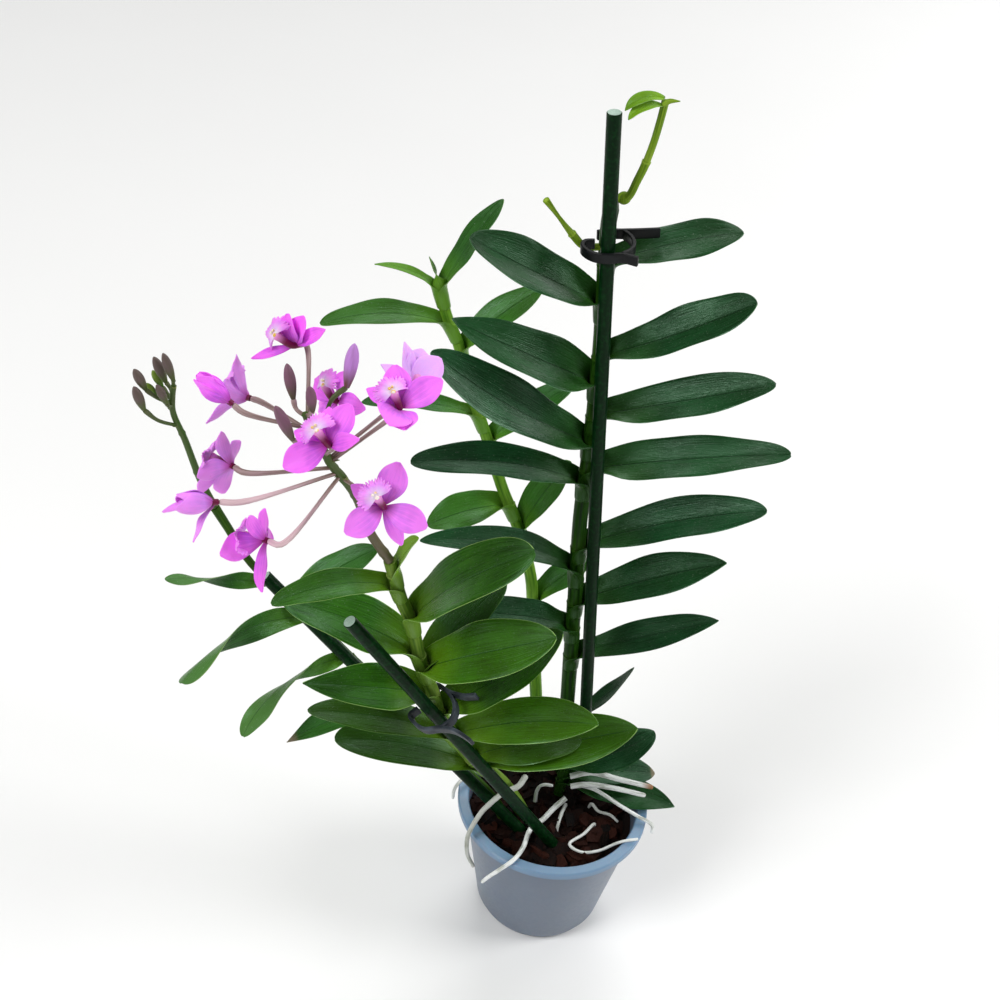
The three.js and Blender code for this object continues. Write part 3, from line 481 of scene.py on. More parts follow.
# A leaf's columns, before what it has of its own: it leaves the stem at a height, or starts at a
# place, towards its azimuth and rise, and then bends down by its droop and round by its sweep.
leafColumns = ("at", "azimuth", "rise", "droop", "sweep", "length", "width", "roll")
canes = {
    "tall_cane": {
        "tint": "dark", "slot": "dark_leaf", "radius": (4.8, 4),
        "form": {"neck": 0.42, "widest": 0.55, "blunt": 0.5, "fold": 16},
        "places": [(6, 30, 58), (9, 36, 149), (10.5, 38, 206), (11.5, 38, 248), (12.5, 38, 293),
                   (15, 38, 329), (17.5, 38, 369), (19.5, 38, 417), (20.5, 38, 484), (22.5, 37, 502)],
        "leaves": [
            (438.5, 205, 36, 2, -22, 86, 29, 31, {"widest": 0.49, "neck": 0.47, "blunt": 0.43}),
            (388.5, 212, 38, 7, -33, 97, 29, 39, {"twist": 5, "widest": 0.34, "neck": 0.54, "blunt": 0.73}),
            (349, 222, 38, -6, -47, 122, 30, 39, {"twist": 4, "neck": 0.5, "blunt": 0.56}),
            (320, 200, 38, 40, -14, 106, 22, 26, {"widest": 0.47, "blunt": 0.43}),
            (253.5, 207, 53, 53, -19, 109, 18, 35, {"widest": 0.48, "blunt": 0.62}),
            (208, 201, 37, 27, -13, 67, 22, 25),
            (462.5, 14, 15, 8, -15, 72, 25, -19, {"fold": 4}),
            (406, -2, 18, -17, -10, 89, 26, -28, {"widest": 0.61, "blunt": 0.44}),
            (367, -1, 12, -9, -11, 100, 25, -28, {"widest": 0.49, "neck": 0.46}),
            (329.5, -4, 13, 3, -8, 113, 26, -28, {"widest": 0.35}),
            (272.5, 0, 25, 11, -14, 112, 26, -28),
            (229, 0, 25, 1, -14, 96, 27, -28, {"blunt": 0.8}),
            (185.5, -3, 21, -7, -10, 96, 21, -28, {"neck": 0.36, "blunt": 0.79}),
            (129, 2, 37, -32, -27, 69, 11, -24, {"blunt": 1}),
            ((44, 32.5, 556), 192, 30, 84, 0, 21.5, 6, 35,
             {"neck": 0.3, "blunt": 0.8, "fold": 25, "tone": 0.7, "tint": "bright"}),
            ((43, 31.5, 553), 198, 22, 74, 0, 19, 6.5, 20,
             {"neck": 0.3, "blunt": 0.8, "fold": 25, "tone": 1, "tint": "bright"}),
        ],
    },
    "middle_cane": {
        "tint": "mid", "slot": "mid_leaf", "radius": (4.2, 3.2), "form": {},
        "places": [(-6, 34, 58), (-11, 48, 150), (-13.5, 54, 212), (-15, 56, 234), (-24, 61, 272),
                   (-32, 64, 295), (-41, 68, 329), (-51, 72, 363), (-57, 75, 391), (-62, 77, 404),
                   (-67, 80, 425)],
        "leaves": [
            (401, 190, 29, 45, 0, 73, 18, 15),
            (421, 10, 61, 10, 0, 63, 16, -20),
            (422, 180, 49, 50, 0, 39, 6, 20, {"blunt": 1, "tone": 0.8}),
            (424, 170, 80, 10, 0, 18, 5, 0, {"blunt": 1, "tone": 0.8}),
            (385, 15, 45, 20, 0, 58, 20, -20),
            (344, 186, 27, 30, 0, 68, 14, 10),
            (327, 20, 37, 20, 0, 58, 20, -20),
            (284, 200, 13, 30, 0, 51, 24, 20),
            (265, 15, 66, 20, 0, 56, 22, -20),
            (215, 20, 40, 20, 0, 43, 18, -20),
        ],
    },
    "flowering_cane": {
        "tint": "bright", "slot": "bright_leaf", "radius": (4.8, 3.4), "form": {"neck": 0.5},
        "places": [(-12, 4, 58), (-30, -12, 120), (-52, -30, 170), (-67.5, -40, 214), (-71.5, -42, 237),
                   (-76, -45, 257), (-81, -50, 298), (-85, -53, 315), (-89.5, -57, 346)],
        "leaves": [
            (297, -34, 60, 30, 26, 99, 33, -31, {"widest": 0.56, "blunt": 0.48}),
            (256, -37, 44, 21, 29, 94, 34, -32, {"twist": -6, "neck": 0.44}),
            (216, 1, 38, -5, 4, 91, 33, -22),
            (193, 3, 20, 1, -34, 91, 29, -28, {"neck": 0.3, "blunt": 0.63}),
            (164, -3, 16, -5, -1, 101, 32, -28, {"twist": -4, "widest": 0.55, "neck": 0.45, "blunt": 0.69}),
            (166.5, -4, 30, 29, 2, 68, 29, -21, {"widest": 0.56, "neck": 0.4, "tint": "older"}),
            (326, 203, 34, 51, -3, 69, 17, 22),
            (268, 175, 41, 36, -5, 81, 32, 19, {"widest": 0.42, "blunt": 0.65}),
            (234, 198, 25, 15, -12, 75, 28, 28, {"widest": 0.36, "blunt": 0.99}),
            (193, 190, 35, 23, 0, 89, 22, 20, {"tint": "older"}),
            (153, 190, 40, 31, -1, 95, 29, 21, {"blunt": 0.46, "tint": "older"}),
            (336, -10, 67, 10, 0, 30, 12, -20, {"fold": 25, "tone": 0.9}),
            (259, 28, 44, 12, 0, 66, 24, -20, {"tint": "older"}),
        ],
    },
    "bud_cane": {
        "tint": "shaded", "slot": "mid_leaf", "radius": (3.8, 2.1), "form": {},
        "places": [(-24, -8, 58), (-37, -8, 102), (-60, -5, 134), (-105, 1, 195), (-137, 5, 239),
                   (-158, 7, 266), (-173, 8, 286), (-184, 8, 314), (-189, 8, 327)],
        "leaves": [
            (271, 203, 31, 23, -9, 63, 12, -9, {"twist": 233}),
            (247, 215, 32, 42, 28, 98, 20, 30, {"twist": 138, "widest": 0.64, "neck": 0.37, "blunt": 0.35}),
            (217.5, 212, 24, 85, 4, 84, 17, 42, {"twist": 191, "blunt": 0.47}),
            (259, 18, 36, 20, 0, 59, 20, -20),
            (179, 196, 14, 45, 0, 72, 18, 10, {"blunt": 0.9, "dryTip": 0.12}),
        ],
    },
    "basal_shoot": {
        "tint": "dark", "slot": "dark_leaf", "radius": (3.6, 2.6), "form": {},
        "places": [(2, 14, 58), (4, 13, 85), (6, 12, 105), (8, 12, 122)],
        "leaves": [
            (99, -13, 4, 22, 2, 74, 24, -16, {"blunt": 0.9}),
            (104, 1, 8, 24, 7, 60, 22, -15, {"dryTip": 0.06}),
            (112, -22, 31, 19, 58, 64, 25, -19, {"neck": 0.22}),
        ],
    },
}
# Side shoots of the tall cane: an old flower stalk that was cut, and a young bent shoot.
twigs = [
    {"places": [(20, 38, 473), (9, 37, 474), (3, 36, 481), (-11, 30, 504)], "radius": 2.1, "waist": 0.6,
     "joints": (0.45,), "tip": "cut"},
    {"places": [(28, 35, 501), (30.6, 34.5, 505), (33.2, 34, 512), (36.4, 34, 520), (40, 34, 532),
                (42.6, 33, 545), (44.3, 32.5, 555)],
     "radius": 2.2, "joints": (0.42,), "tip": "round"},
    {"places": [(43.5, 32, 553.5), (46, 31, 555.5), (51, 30, 556)], "radius": 1.7, "joints": (),
     "tip": "point"},
]
knob = {"place": (27.5, 35.5, 502), "size": (3.5, 3.2, 3.3)}


# How far a place on the stem is from the joint below it, as a share of the way to the next.
def betweenJoints(joints, distance):
    k = bisect.bisect_right(joints, distance)
    below = joints[k - 1] if k else 0
    above = joints[k] if k < len(joints) else below + 40
    return (distance - below) / max(above - below, 1)


# A stem whose sheaths swell up to each joint and end there in a thin pale lip.
def addStem(route, thick, thin, joints, skin, tip="round", sides=14, waist=1):
    swelling, lip = 0.3, 0.16
    stops = [route.length * k / 60 for k in range(61)]
    for joint in joints:
        stops += [joint - 1.6, joint - 0.5, joint - 0.02, joint + 0.02, joint + 0.8]
    stops = sorted(stop for stop in stops if 0 <= stop <= route.length)
    rings, tones = [(0, 0)], [0]
    for stop in stops:
        share = betweenJoints(joints, stop)
        radius = mix(thick, thin, stop / route.length) + swelling * (share ** 2 - 0.4)
        near = min((joint - stop for joint in joints if joint > stop - 0.001), default=99)
        radius += lip * ease(1.7, 0.4, near)
        if joints and stop > joints[-1]:
            radius *= mix(waist, 1, abs(2 * (stop - joints[-1]) / (route.length - joints[-1]) - 1) ** 1.5)
        rings.append((stop, radius))
        tones.append(0.5 * ease(1.1, 0.3, near) + 0.3 * ease(0.3, 0, share))
    if tip == "round":
        last = rings[-1][1]
        rings.append((route.length, last * 0.6))
        tones.append(tones[-1])
    if tip == "point":
        rings = [(stop, radius * (1 - 0.85 * (stop / route.length) ** 2)) for stop, radius in rings]
    rings.append((route.length, 0))
    tones.append(1 if tip == "cut" else tones[-1])
    return addTube(route, rings, sides, skin, tones)


# The rows of a leaf: first its sheath round the stem, then the bend, then the blade.
def leafWithSheath(route, radius, leaf):
    distance = route.distanceAt(leaf["at"])
    free = radius + sheathWrap["bend"]
    blade = bladeRows(route.spot(distance), leaf, leafRows)
    blade = [row for row in blade if row["share"] * leaf["length"] > free]
    near = radius + sheathWrap["clearance"]
    wrapHalf = math.pi * near * sheathWrap["share"]
    sheath = []
    for k in range(sheathWrap["rows"] + 1):
        stop = distance - sheathWrap["length"] * (1 - 0.8 * k / sheathWrap["rows"])
        stem = route.heading(stop)
        outward = direction(leaf["azimuth"], leaf["rise"])
        outward = (outward - stem * outward.dot(stem)).normalized()
        swell = 0.5 * k / sheathWrap["rows"]
        sheath.append({"centre": route.spot(stop) + outward * (near + swell), "along": stem, "up": -outward,
                       "half": wrapHalf, "curl": 1 / (near + swell), "share": 0, "fold": 0, "open": 0})
    first, last = sheath[-1], blade[0]
    span = (last["centre"] - first["centre"]).length
    bend = []
    for k in range(1, sheathWrap["bendRows"]):
        share = k / sheathWrap["bendRows"]
        a, b = first["centre"], first["centre"] + first["along"] * span * 0.4
        d, c = last["centre"], last["centre"] - last["along"] * span * 0.4
        ab, bc, cd = a.lerp(b, share), b.lerp(c, share), c.lerp(d, share)
        centre = ab.lerp(bc, share).lerp(bc.lerp(cd, share), share)
        along = first["along"].lerp(last["along"], share).normalized()
        up = first["up"].lerp(last["up"], share)
        up = (up - along * up.dot(along)).normalized()
        half = mix(wrapHalf, last["half"], share ** 0.7)
        curl = mix(first["curl"], 0.5 * first["curl"], share)
        bend.append({"centre": centre, "along": along, "up": up, "half": half, "curl": curl,
                     "share": 0.02 * k, "fold": leaf["fold"], "open": 0})
    for row in blade:
        gone = row["share"] * leaf["length"] - free
        row["curl"] += 0.5 * first["curl"] * (1 - ease(0, sheathWrap["unrolls"], gone))
        row["open"] = ease(0, sheathWrap["unrolls"], gone)
        row["share"] = max(row["share"], 0.08)
    return sheath + bend + blade


def addCane(name, cane):
    route = Route(cane["places"])
    thick, thin = cane["radius"]
    parts = []
    joints = []
    for row in cane["leaves"]:
        leaf = dict(zip(leafColumns, row))
        leaf.update(*row[len(leafColumns):])
        shape = {**leafForm, **cane["form"], **leaf}
        look = {**leafLook, "tone": leaf.get("tone", random.uniform(0, 0.16))}
        look["dryTip"] = leaf.get("dryTip", 0)
        small = min(shape["width"] / 24, 1)
        look["waveHeight"] *= small
        look["thickness"] *= max(small, 0.7)
        if isinstance(leaf["at"], tuple):
            rows = bladeRows(leaf["at"], shape, 14)
        else:
            distance = route.distanceAt(leaf["at"])
            joints.append(distance)
            rows = leafWithSheath(route, mix(thick, thin, distance / route.length), shape)
        parts.append(addBlade(rows, leafLanes, look, leafSkins[leaf.get("tint", cane["tint"])]))
    parts.append(addStem(route, thick, thin, sorted(joints), stemSkins[cane["tint"]]))
    if name == "tall_cane":
        for twig in twigs:
            way = Route(twig["places"])
            notches = [share * way.length for share in twig["joints"]]
            parts.append(addStem(way, twig["radius"], twig["radius"] * 0.85, notches, stemSkins["young"],
                                 twig["tip"], 10, twig.get("waist", 1)))
        parts.append(addLump(Vector(knob["place"]), knob["size"], stemSkins["young"], 0))
    return finishPiece(name.replace("_", "") + "_grown", parts, leaning, cane["slot"], name)


random.seed(11)
for name, cane in canes.items():
    addCane(name, cane)
    print("cane made:", name)


# ---- Flower materials

# Petal: soft tissue of tiny domed cells, which scatter light under the skin and give a faint sparkle.
def orchidPetal(name, colours, baseReach=0.3):
    material, add, shader = newMaterial(name, Roughness=0.5, IOR=1.38, Subsurface_Weight=0.12,
                                        Subsurface_Scale=0.002, Sheen_Weight=0.25, Sheen_Roughness=0.4)
    place = add("UVMap", {}, uv_map="UVMap")
    split = add("SeparateXYZ", {0: place})
    stretched = add("Mapping", {"Vector": place, "Scale": (11, 0.9, 1)})
    vein = add("TexNoise", {"Vector": stretched, "Scale": 1, "Detail": 3})
    solid = add("TexCoord", {})
    cloud = add("TexNoise", {"Vector": solid.outputs["Object"], "Scale": 120, "Detail": 2})
    # the colour runs from deep at the petal's base to light at its tip, with veins and mottling: the deep
    # base is painted shade where the petals meet, and the veins and mottling are the petal's own
    grown = add("Math", {0: split.outputs[1], 1: 0.8, 2: vein}, operation="MULTIPLY_ADD")
    shade = add("Math", {0: grown, 1: cloud}, operation="ADD")
    spread = add("MapRange", {"Value": shade, "From Min": 0.8, "From Max": 1.55})
    body = add("Mix", {0: spread, 6: colours["deep"], 7: colours["light"]}, data_type="RGBA")
    tone = add("Attribute", {}, attribute_name="tone")
    paled = add("Mix", {0: tone.outputs["Fac"], 6: body, 7: colours["pale"]}, data_type="RGBA")
    inner = add("MapRange", {"Value": split.outputs[1], "From Min": 0.02, "From Max": baseReach,
                "To Min": 0.85, "To Max": 0})
    based = add("Mix", {0: inner, 6: paled, 7: colours["base"]}, data_type="RGBA")
    # cells of about 0.4 mm, larger than real ones so that they show
    cells = add("TexVoronoi", {"Vector": solid.outputs["Object"], "Scale": 2500})
    relief = add("Math", {0: vein, 1: 2.5, 2: cells}, operation="MULTIPLY_ADD")
    bump = add("Bump", {"Height": relief, "Strength": 0.25, "Distance": 0.0002})
    feed(shader, {"Base Color": based, "Normal": bump})
    return material


# deep is the petals' colour in shade, painted towards their bases
petalColours = {"deep": "#ac36d6", "light": "#fb6efc", "pale": "#e6bcfc", "base": "#b02a9c"}
lipColours = {"deep": "#c25ce8", "light": "#f58cf8", "pale": "#ecd0fb", "base": "#fffcff"}
petalSkin = orchidPetal("orchidPetal", petalColours)
lipSkin = orchidPetal("fringedLip", lipColours, baseReach=0.62)


# Column: the same tissue, firm and glossy, nearly wine red where it joins the petals.
def orchidColumn():
    material, add, shader = newMaterial("orchidColumn", Roughness=0.38, IOR=1.4, Subsurface_Weight=0.08,
                                        Subsurface_Scale=0.002)
    tone = add("Attribute", {}, attribute_name="tone")
    body = add("Mix", {0: tone.outputs["Fac"], 6: "#6c0a3c", 7: "#e48fd0"}, data_type="RGBA")
    solid = add("TexCoord", {})
    grain = add("TexNoise", {"Vector": solid.outputs["Object"], "Scale": 900, "Detail": 2})
    bump = add("Bump", {"Height": grain, "Strength": 0.2, "Distance": 0.0003})
    feed(shader, {"Base Color": body, "Normal": bump})
    return material


# Callus and anther cap: waxy lumps, white going to egg yellow.
def waxyCallus():
    material, add, shader = newMaterial("waxyCallus", Roughness=0.4, IOR=1.42, Subsurface_Weight=0.15,
                                        Subsurface_Scale=0.001)
    solid = add("TexCoord", {})
    patch = add("TexNoise", {"Vector": solid.outputs["Object"], "Scale": 420, "Detail": 1})
    spread = add("MapRange", {"Value": patch, "From Min": 0.42, "From Max": 0.6})
    body = add("Mix", {0: spread, 6: "#fbf3e4", 7: "#e8b93c"}, data_type="RGBA")
    feed(shader, {"Base Color": body})
    return material


# Flower stalks and buds: thin skin, olive to wine brown, duller than the leaves.
def stalkSkin(name, low, high, grainScale):
    material, add, shader = newMaterial(name, IOR=1.42)
    solid = add("TexCoord", {})
    place = add("UVMap", {}, uv_map="UVMap")
    stretched = add("Mapping", {"Vector": place, "Scale": (9, 0.06, 1)})
    streak = add("TexNoise", {"Vector": stretched, "Scale": 1, "Detail": 3})
    grain = add("TexNoise", {"Vector": solid.outputs["Object"], "Scale": grainScale, "Detail": 3})
    tone = add("Attribute", {}, attribute_name="tone")
    wander = add("MapRange", {"Value": streak, "From Min": 0.3, "From Max": 0.7, "To Min": -0.22,
                 "To Max": 0.22})
    share = add("Math", {0: tone.outputs["Fac"], 1: wander}, operation="ADD", use_clamp=True)
    body = add("Mix", {0: share, 6: low, 7: high}, data_type="RGBA")
    dull = add("MapRange", {"Value": grain, "To Min": 0.4, "To Max": 0.62})
    relief = add("Math", {0: streak, 1: 2, 2: grain}, operation="MULTIPLY_ADD")
    bump = add("Bump", {"Height": relief, "Strength": 0.3, "Distance": 0.0003})
    feed(shader, {"Base Color": body, "Roughness": dull, "Normal": bump})
    return material


columnSkin = orchidColumn()
callusSkin = waxyCallus()
stemmedSkin = stalkSkin("flowerStalkSkin", "#34560c", "#665a48", 300)
pedicelSkin = stalkSkin("pedicelSkin", "#5f5038", "#dcbcc2", 300)
budSkins = {"brown": stalkSkin("budSkin", "#46581a", "#5f4f4c", 400),
            "green": stalkSkin("greenBudSkin", "#3f6a10", "#6f8a2c", 400),
            "dusky": stalkSkin("duskyBudSkin", "#57503a", "#7c5568", 400),
            "opening": stalkSkin("openingBudSkin", "#6b4440", "#c48ad8", 400)}
bractSkin = stalkSkin("bractSkin", "#4f6a24", "#8a8a50", 400)

# ---- The blooms. Each gives the place where its sepals join, the azimuth and elevation that it
# faces, and the angle round its face of its lip. Each tepal has its angle, how far it has opened, in
# degrees from the face line, its width and, if it isn't 20 mm, its length. A cupped bloom's tepals
# bend back over it, and a furled one keeps its lip inside. "stalk" is how pale its stalk is.
blooms = [
    {"at": (-127.7, -54, 475.7), "face": (-132, 25), "lip": 153,
     "tepals": ((77, 65, 12, 16), (42, 77, 8, 20), (219, 52, 5, 22), (101, 50, 11, 16), (150, 62, 9, 14))},
    {"at": (-156.5, -78, 461.4), "face": (170, 42), "lip": 90, "cup": 52, "furled": True,
     "tepals": ((30, 30, 11), (150, 30, 11), (90, 26, 11), (210, 30, 11), (330, 30, 11))},
    {"at": (-151.9, -58, 449.2), "face": (153, 1), "lip": 71, "tone": 0.5,
     "tepals": ((93, 65, 8, 22), (323, 38, 9, 23), (55, 51, 12, 15), (150, 42, 11, 17), (215, 38, 9, 16))},
    {"at": (-159, -80, 426), "face": (140, -2), "lip": 42, "tone": 0.4,
     "tepals": ((82, 78, 8, 21), (311, 48, 13, 21), (277, 60, 13, 19), (3, 60, 12, 17), (170, 45, 10, 16))},
    {"at": (-162.2, -112, 430.1), "face": (-160, 16), "lip": 100, "cup": 78, "furled": True,
     "tone": 0.35, "stalk": 0.8,
     "tepals": ((70, 16, 5, 26), (275, 60, 6, 22), (345, 49, 18, 19), (180, 44, 15, 18),
                (110, 46, 15, 18))},
    {"at": (-142, -108, 404), "face": (146, -12), "lip": 40, "stalk": 0.7,
     "tepals": ((68, 86, 8, 20), (5, 48, 15, 21), (299, 80, 9, 24), (150, 45, 9, 17), (220, 45, 12, 17))},
    {"at": (-109.9, -100, 453.2), "face": (-101, 46), "lip": 132,
     "tepals": ((68, 76, 14), (166, 88, 9, 18), (216, 70, 15, 22), (9, 40, 9), (102, 90, 9, 18))},
    {"at": (-110.8, -50, 441.6), "face": (-149, 27), "lip": 121,
     "tepals": ((72, 59, 9), (181, 71, 12), (214, 86, 12), (258, 80, 9, 14), (20, 84, 12))},
    {"at": (-79.4, -79, 458.2), "face": (-72, 50), "lip": 112,
     "tepals": ((84, 68, 14, 19), (132, 90, 9, 17), (224, 32, 18, 18), (20, 64, 14, 23),
                (262, 42, 15, 15))},
    {"at": (-75, -58, 453.8), "face": (-37, 56), "lip": 85, "tone": 0.8, "furled": True,
     "tepals": ((63, 54, 8, 22), (110, 66, 10, 18), (34, 62, 15, 20), (150, 60, 10, 18), (8, 54, 15, 20))},
    {"at": (-87.5, -98, 416.1), "face": (-75, 32), "lip": 121,
     "tepals": ((62, 80, 15, 21), (138, 92, 9, 17), (206, 79, 15, 21), (288, 88, 8, 21),
                (325, 68, 14, 22))},
]
bloomForm = {"columnLength": 10.5, "columnTilt": 50, "tepalLength": 20, "back": 2, "petalLift": 0.6,
             "droop": 24, "broad": 12}
sepalForm = {"neck": 0.16, "widest": 0.52, "blunt": 0.9, "fold": 10, "curl": 0.6}
petalForm = {"neck": 0.13, "widest": 0.55, "blunt": 0.78, "fold": 7, "curl": 0.35}
tepalForm = {"sweep": 0, "roll": 0, "twist": 0, "tipShare": 0.985, "crowding": 1.4}
tepalLook = {"thickness": 0.55, "waves": 1.4, "waveHeight": 0.7, "crease": 0.8, "midCrowding": 1.1}
lipForm = {"reach": 9.8, "spread": 106, "lanes": 88, "rows": 10, "rise": 24, "droop": 44, "notch": 0.5,
           "teeth": 20, "toothDepth": 0.24, "ruffle": 1.4, "thickness": 0.4}
# each lobe of a lip: the angle of its middle, how narrow it is and how far it reaches
lipLobes = ((-66, 1.15, 1), (-13, 3.4, 0.92), (13, 3.4, 0.92), (66, 1.15, 1))


# The turn that takes +Z to a direction and keeps +X level.
def facing(toward):
    across = Vector((-toward.y, toward.x, 0)).normalized()
    return Matrix((across, toward.cross(across), toward)).transposed().to_4x4()


# The fringed lip: a fan of three lobes, the middle one split at its end, with a ragged edge.
def addLip(foot, lipAngle, tone):
    depths = [random.uniform(0.3, 1.7) for _ in range(lipForm["teeth"] + 2)]

    def reachAt(turn):
        lobes = max(reach * math.cos(math.radians(min(narrow * abs(turn - middle), 90))) ** 0.5
                    for middle, narrow, reach in lipLobes)
        return mix(1 - lipForm["notch"], 1, lobes)

    def placeAt(across, row):
        turn = across * lipForm["spread"]
        share = row / lipForm["rows"]
        teethPast = (across + 1) * lipForm["teeth"] / 2
        tooth = abs(teethPast % 1 - 0.5) * 2 * depths[round(teethPast)]
        reach = lipForm["reach"] * reachAt(turn)
        reach *= mix(0.05, 1, share) * (1 - lipForm["toothDepth"] * tooth * ease(0.5, 1, share))
        climb = math.radians(lipForm["rise"] - lipForm["droop"] * share)
        out = direction(lipAngle + turn, 0)
        ruffle = lipForm["ruffle"] * share ** 2 * math.sin(math.radians(turn * 5.5) + depths[0] * 3)
        return foot + out * reach * math.cos(climb) + Vector((0, 0, reach * math.sin(climb) + ruffle))

    lip, spots = addSheet(lipForm["lanes"], lipForm["rows"], placeAt)
    writeMarks(lip, tone=[tone] * len(spots), dry=[0] * len(spots))
    lip.data.materials.append(lipSkin)
    editAll(lip, (bpy.ops.mesh.flip_normals, {}))
    applyModifier(lip, "SOLIDIFY", thickness=lipForm["thickness"], offset=0)
    return lip


# A bloom in its own frame: it faces +Z, and angles run from +X towards +Y.
def addBloom(number, bloom):
    furled = bloom.get("furled", False)
    tone = bloom.get("tone", random.uniform(0, 0.25))
    tip = direction(bloom["lip"], 85 if furled else bloomForm["columnTilt"]) * bloomForm["columnLength"]
    column = Route([(0, 0, -bloomForm["back"]), (0, 0, 2), tip])
    rings = plainRings(column, lambda t: 1.45 + 0.5 * t + 0.5 * ease(0.75, 1, t), 1.2)
    tones = [ease(0.55, 0.95, ring[0] / column.length) for ring in rings]
    parts = [addTube(column, rings, 14, columnSkin, tones)]
    for angle, opened, width, *length in bloom["tepals"]:
        broad = width > bloomForm["broad"]
        shape = {**tepalForm, **(petalForm if broad else sepalForm), "azimuth": angle, "rise": 90 - opened,
                 "width": width, "length": length[0] if length else bloomForm["tepalLength"]}
        shape["droop"] = -bloom["cup"] if "cup" in bloom and opened < 55 else bloomForm["droop"]
        shape["twist"] = random.uniform(-9, 9)
        if "cup" in bloom and broad:
            shape["curl"] = 2.2
        lift = bloomForm["petalLift"] if broad else -bloomForm["petalLift"]
        start = direction(angle, 0) * 0.8 + Vector((0, 0, lift))
        look = {**tepalLook, "tone": tone}
        parts.append(addBlade(bladeRows(start, shape, 9), 8, look, (petalSkin,)))
    if not furled:
        foot = tip * 0.95
        parts.append(addLip(foot, bloom["lip"], tone * 0.6))
        outward = direction(bloom["lip"], 0)
        sideways = Vector((-outward.y, outward.x, 0))
        parts.append(addLump(tip + Vector((0, 0, 0.5)) - outward * 0.5, (1.1, 1, 0.8), callusSkin))
        for side in (-1, 1):
            place = foot + outward * 2.2 + sideways * side * 0.8 + Vector((0, 0, 1.2))
            parts.append(addLump(place, (0.7, 0.7, 0.6), callusSkin))
    name = f"bloom_{number:02d}"
    place = leaning @ Matrix.Translation(bloom["at"]) @ facing(direction(*bloom["face"]))
    return finishPiece(f"openBloom_{number:02d}", parts, place, "petal", name, sharp=60)


for number, bloom in enumerate(blooms, start=1):
    addBloom(number, bloom)
print("blooms made:", len(blooms))

# ---- The flower spray: the flower stalk, a stalk to each bloom, bracts, and the buds at its tip.
# "feet" are how far up the stalk the blooms' stalks leave. "swelling" is how much it swells at a
# joint and how far off. "shades" are its tones at its foot and tip, and where between them they
# change. Each bud gives how far up its own stalk leaves, the place that this one passes, the bud's
# base and tip, its radius and its skin.
spray = {
    "places": [(-89.7, -57.2, 346.6), (-98, -60, 367), (-103.5, -64, 394), (-109, -67, 408),
               (-114, -70, 420), (-119, -73, 440), (-123, -75, 452)],
    "feet": (0.97, 0.9, 0.86, 0.66, 0.62, 0.6, 0.75, 0.8, 0.7, 0.72, 0.58),
    "bend": 0.15, "joints": (0.06, 0.3, 0.46), "rings": 70, "radius": (2.6, 1.7), "swelling": (0.35, 2.2),
    "shades": (0.9, 0.15, 0.25, 0.6), "bloomBracts": (4, 6.5), "bracts": (3.5, 5),
    "buds": [
        (0.8, (-111, -70, 456), (-104, -65, 460), (-99, -65, 484), 3.4, "opening"),
        (0.98, (-128, -68, 450), (-129, -66, 454), (-131, -62, 471), 2.8, "dusky"),
        (0.99, (-121, -76, 452), (-119, -77, 455), (-119, -80, 471), 2.6, "dusky"),
        (0.8, (-126, -78, 437), (-129, -80, 441), (-134, -88, 466), 2.9, "dusky"),
    ],
}
budSpray = {
    "places": [(-189.2, 8, 327.6), (-195, 9, 346), (-200, 9, 373), (-204, 9, 391), (-203, 9, 401),
               (-201.5, 9, 408)],
    "joints": (0.3, 0.62), "rings": 50, "radius": (2.1, 1.5), "swelling": (0.3, 1.6),
    "shades": (0.1, 0.25, 0.6, 1), "bracts": (3, 4.5),
    "buds": [
        (0.86, (-210, 5, 403), (-215, 4, 409), (-219, 3, 422.5), 2.6, "brown"),
        (0.68, (-211, 2, 391), (-216.5, 0, 399), (-219.5, -1, 414.5), 2.7, "brown"),
        (0.93, (-204, 11, 405), (-206, 12, 408), (-210, 11, 424.5), 2.7, "brown"),
        (0.99, (-201.3, 8.5, 411), (-201, 8, 412), (-204, 7, 429.5), 2.5, "brown"),
        (0.84, (-205, 5, 398), (-205, 3, 401), (-208.5, 2, 413.5), 2.3, "brown"),
        (0.8, (-208, 11, 396), (-212, 12, 400), (-216.5, 11, 408), 2, "green"),
        (0.84, (-206, 13, 399), (-209, 15, 403), (-212.5, 14, 414), 2.2, "green"),
    ],
}
budRidge = {"sides": 18, "ridges": 3, "depth": 0.07}


# A closed bud: three sepals shut over the petals, so its section is a soft three-sided one.
def addBud(base, tip, radius, skin):
    first, last = Vector(base), Vector(tip)
    route = Route([first, tuple(mix(a, b, 0.5) for a, b in zip(base, tip)), last])
    rings = [(0, 0)]
    for k in range(17):
        share = 1 - (1 - k / 16) ** 1.6
        rings.append((share * route.length, radius * max(bladeShare(share, 0.4, 0.55, 0.62), 0.1)))
    rings.append((route.length, 0))
    tones = [0.05 + 0.9 * ease(0.05, 0.6, ring[0] / route.length) for ring in rings]
    piece = addTube(route, rings, budRidge["sides"], budSkins[skin], tones)
    axis = (last - first).normalized()
    level = axis.orthogonal().normalized()
    for vertex in piece.data.vertices:
        along = (vertex.co - first).dot(axis)
        out = vertex.co - first - axis * along
        if out.length > 0.01:
            turn = math.atan2(out.cross(level).dot(axis), out.dot(level))
            seam = abs(math.sin(budRidge["ridges"] / 2 * turn + along * 0.04))
            vertex.co -= out * budRidge["depth"] * (1 - seam) ** 2 * 2
    return piece


# A bract: the small pointed scale below each flower's stalk.
def addBract(foot, outward, length):
    azimuth = math.degrees(math.atan2(outward.y, outward.x))
    shape = {**leafForm, "azimuth": azimuth, "rise": 40, "droop": 20, "length": length,
             "width": length * 0.6, "neck": 0.8, "widest": 0.2, "blunt": 1.2, "curl": 1.5, "fold": 15,
             "tipShare": 0.97}
    look = {**leafLook, "thickness": 0.35, "waveHeight": 0, "crease": 0.4, "tone": random.uniform(0, 1)}
    return addBlade(bladeRows(foot, shape, 6), 4, look, (bractSkin,))


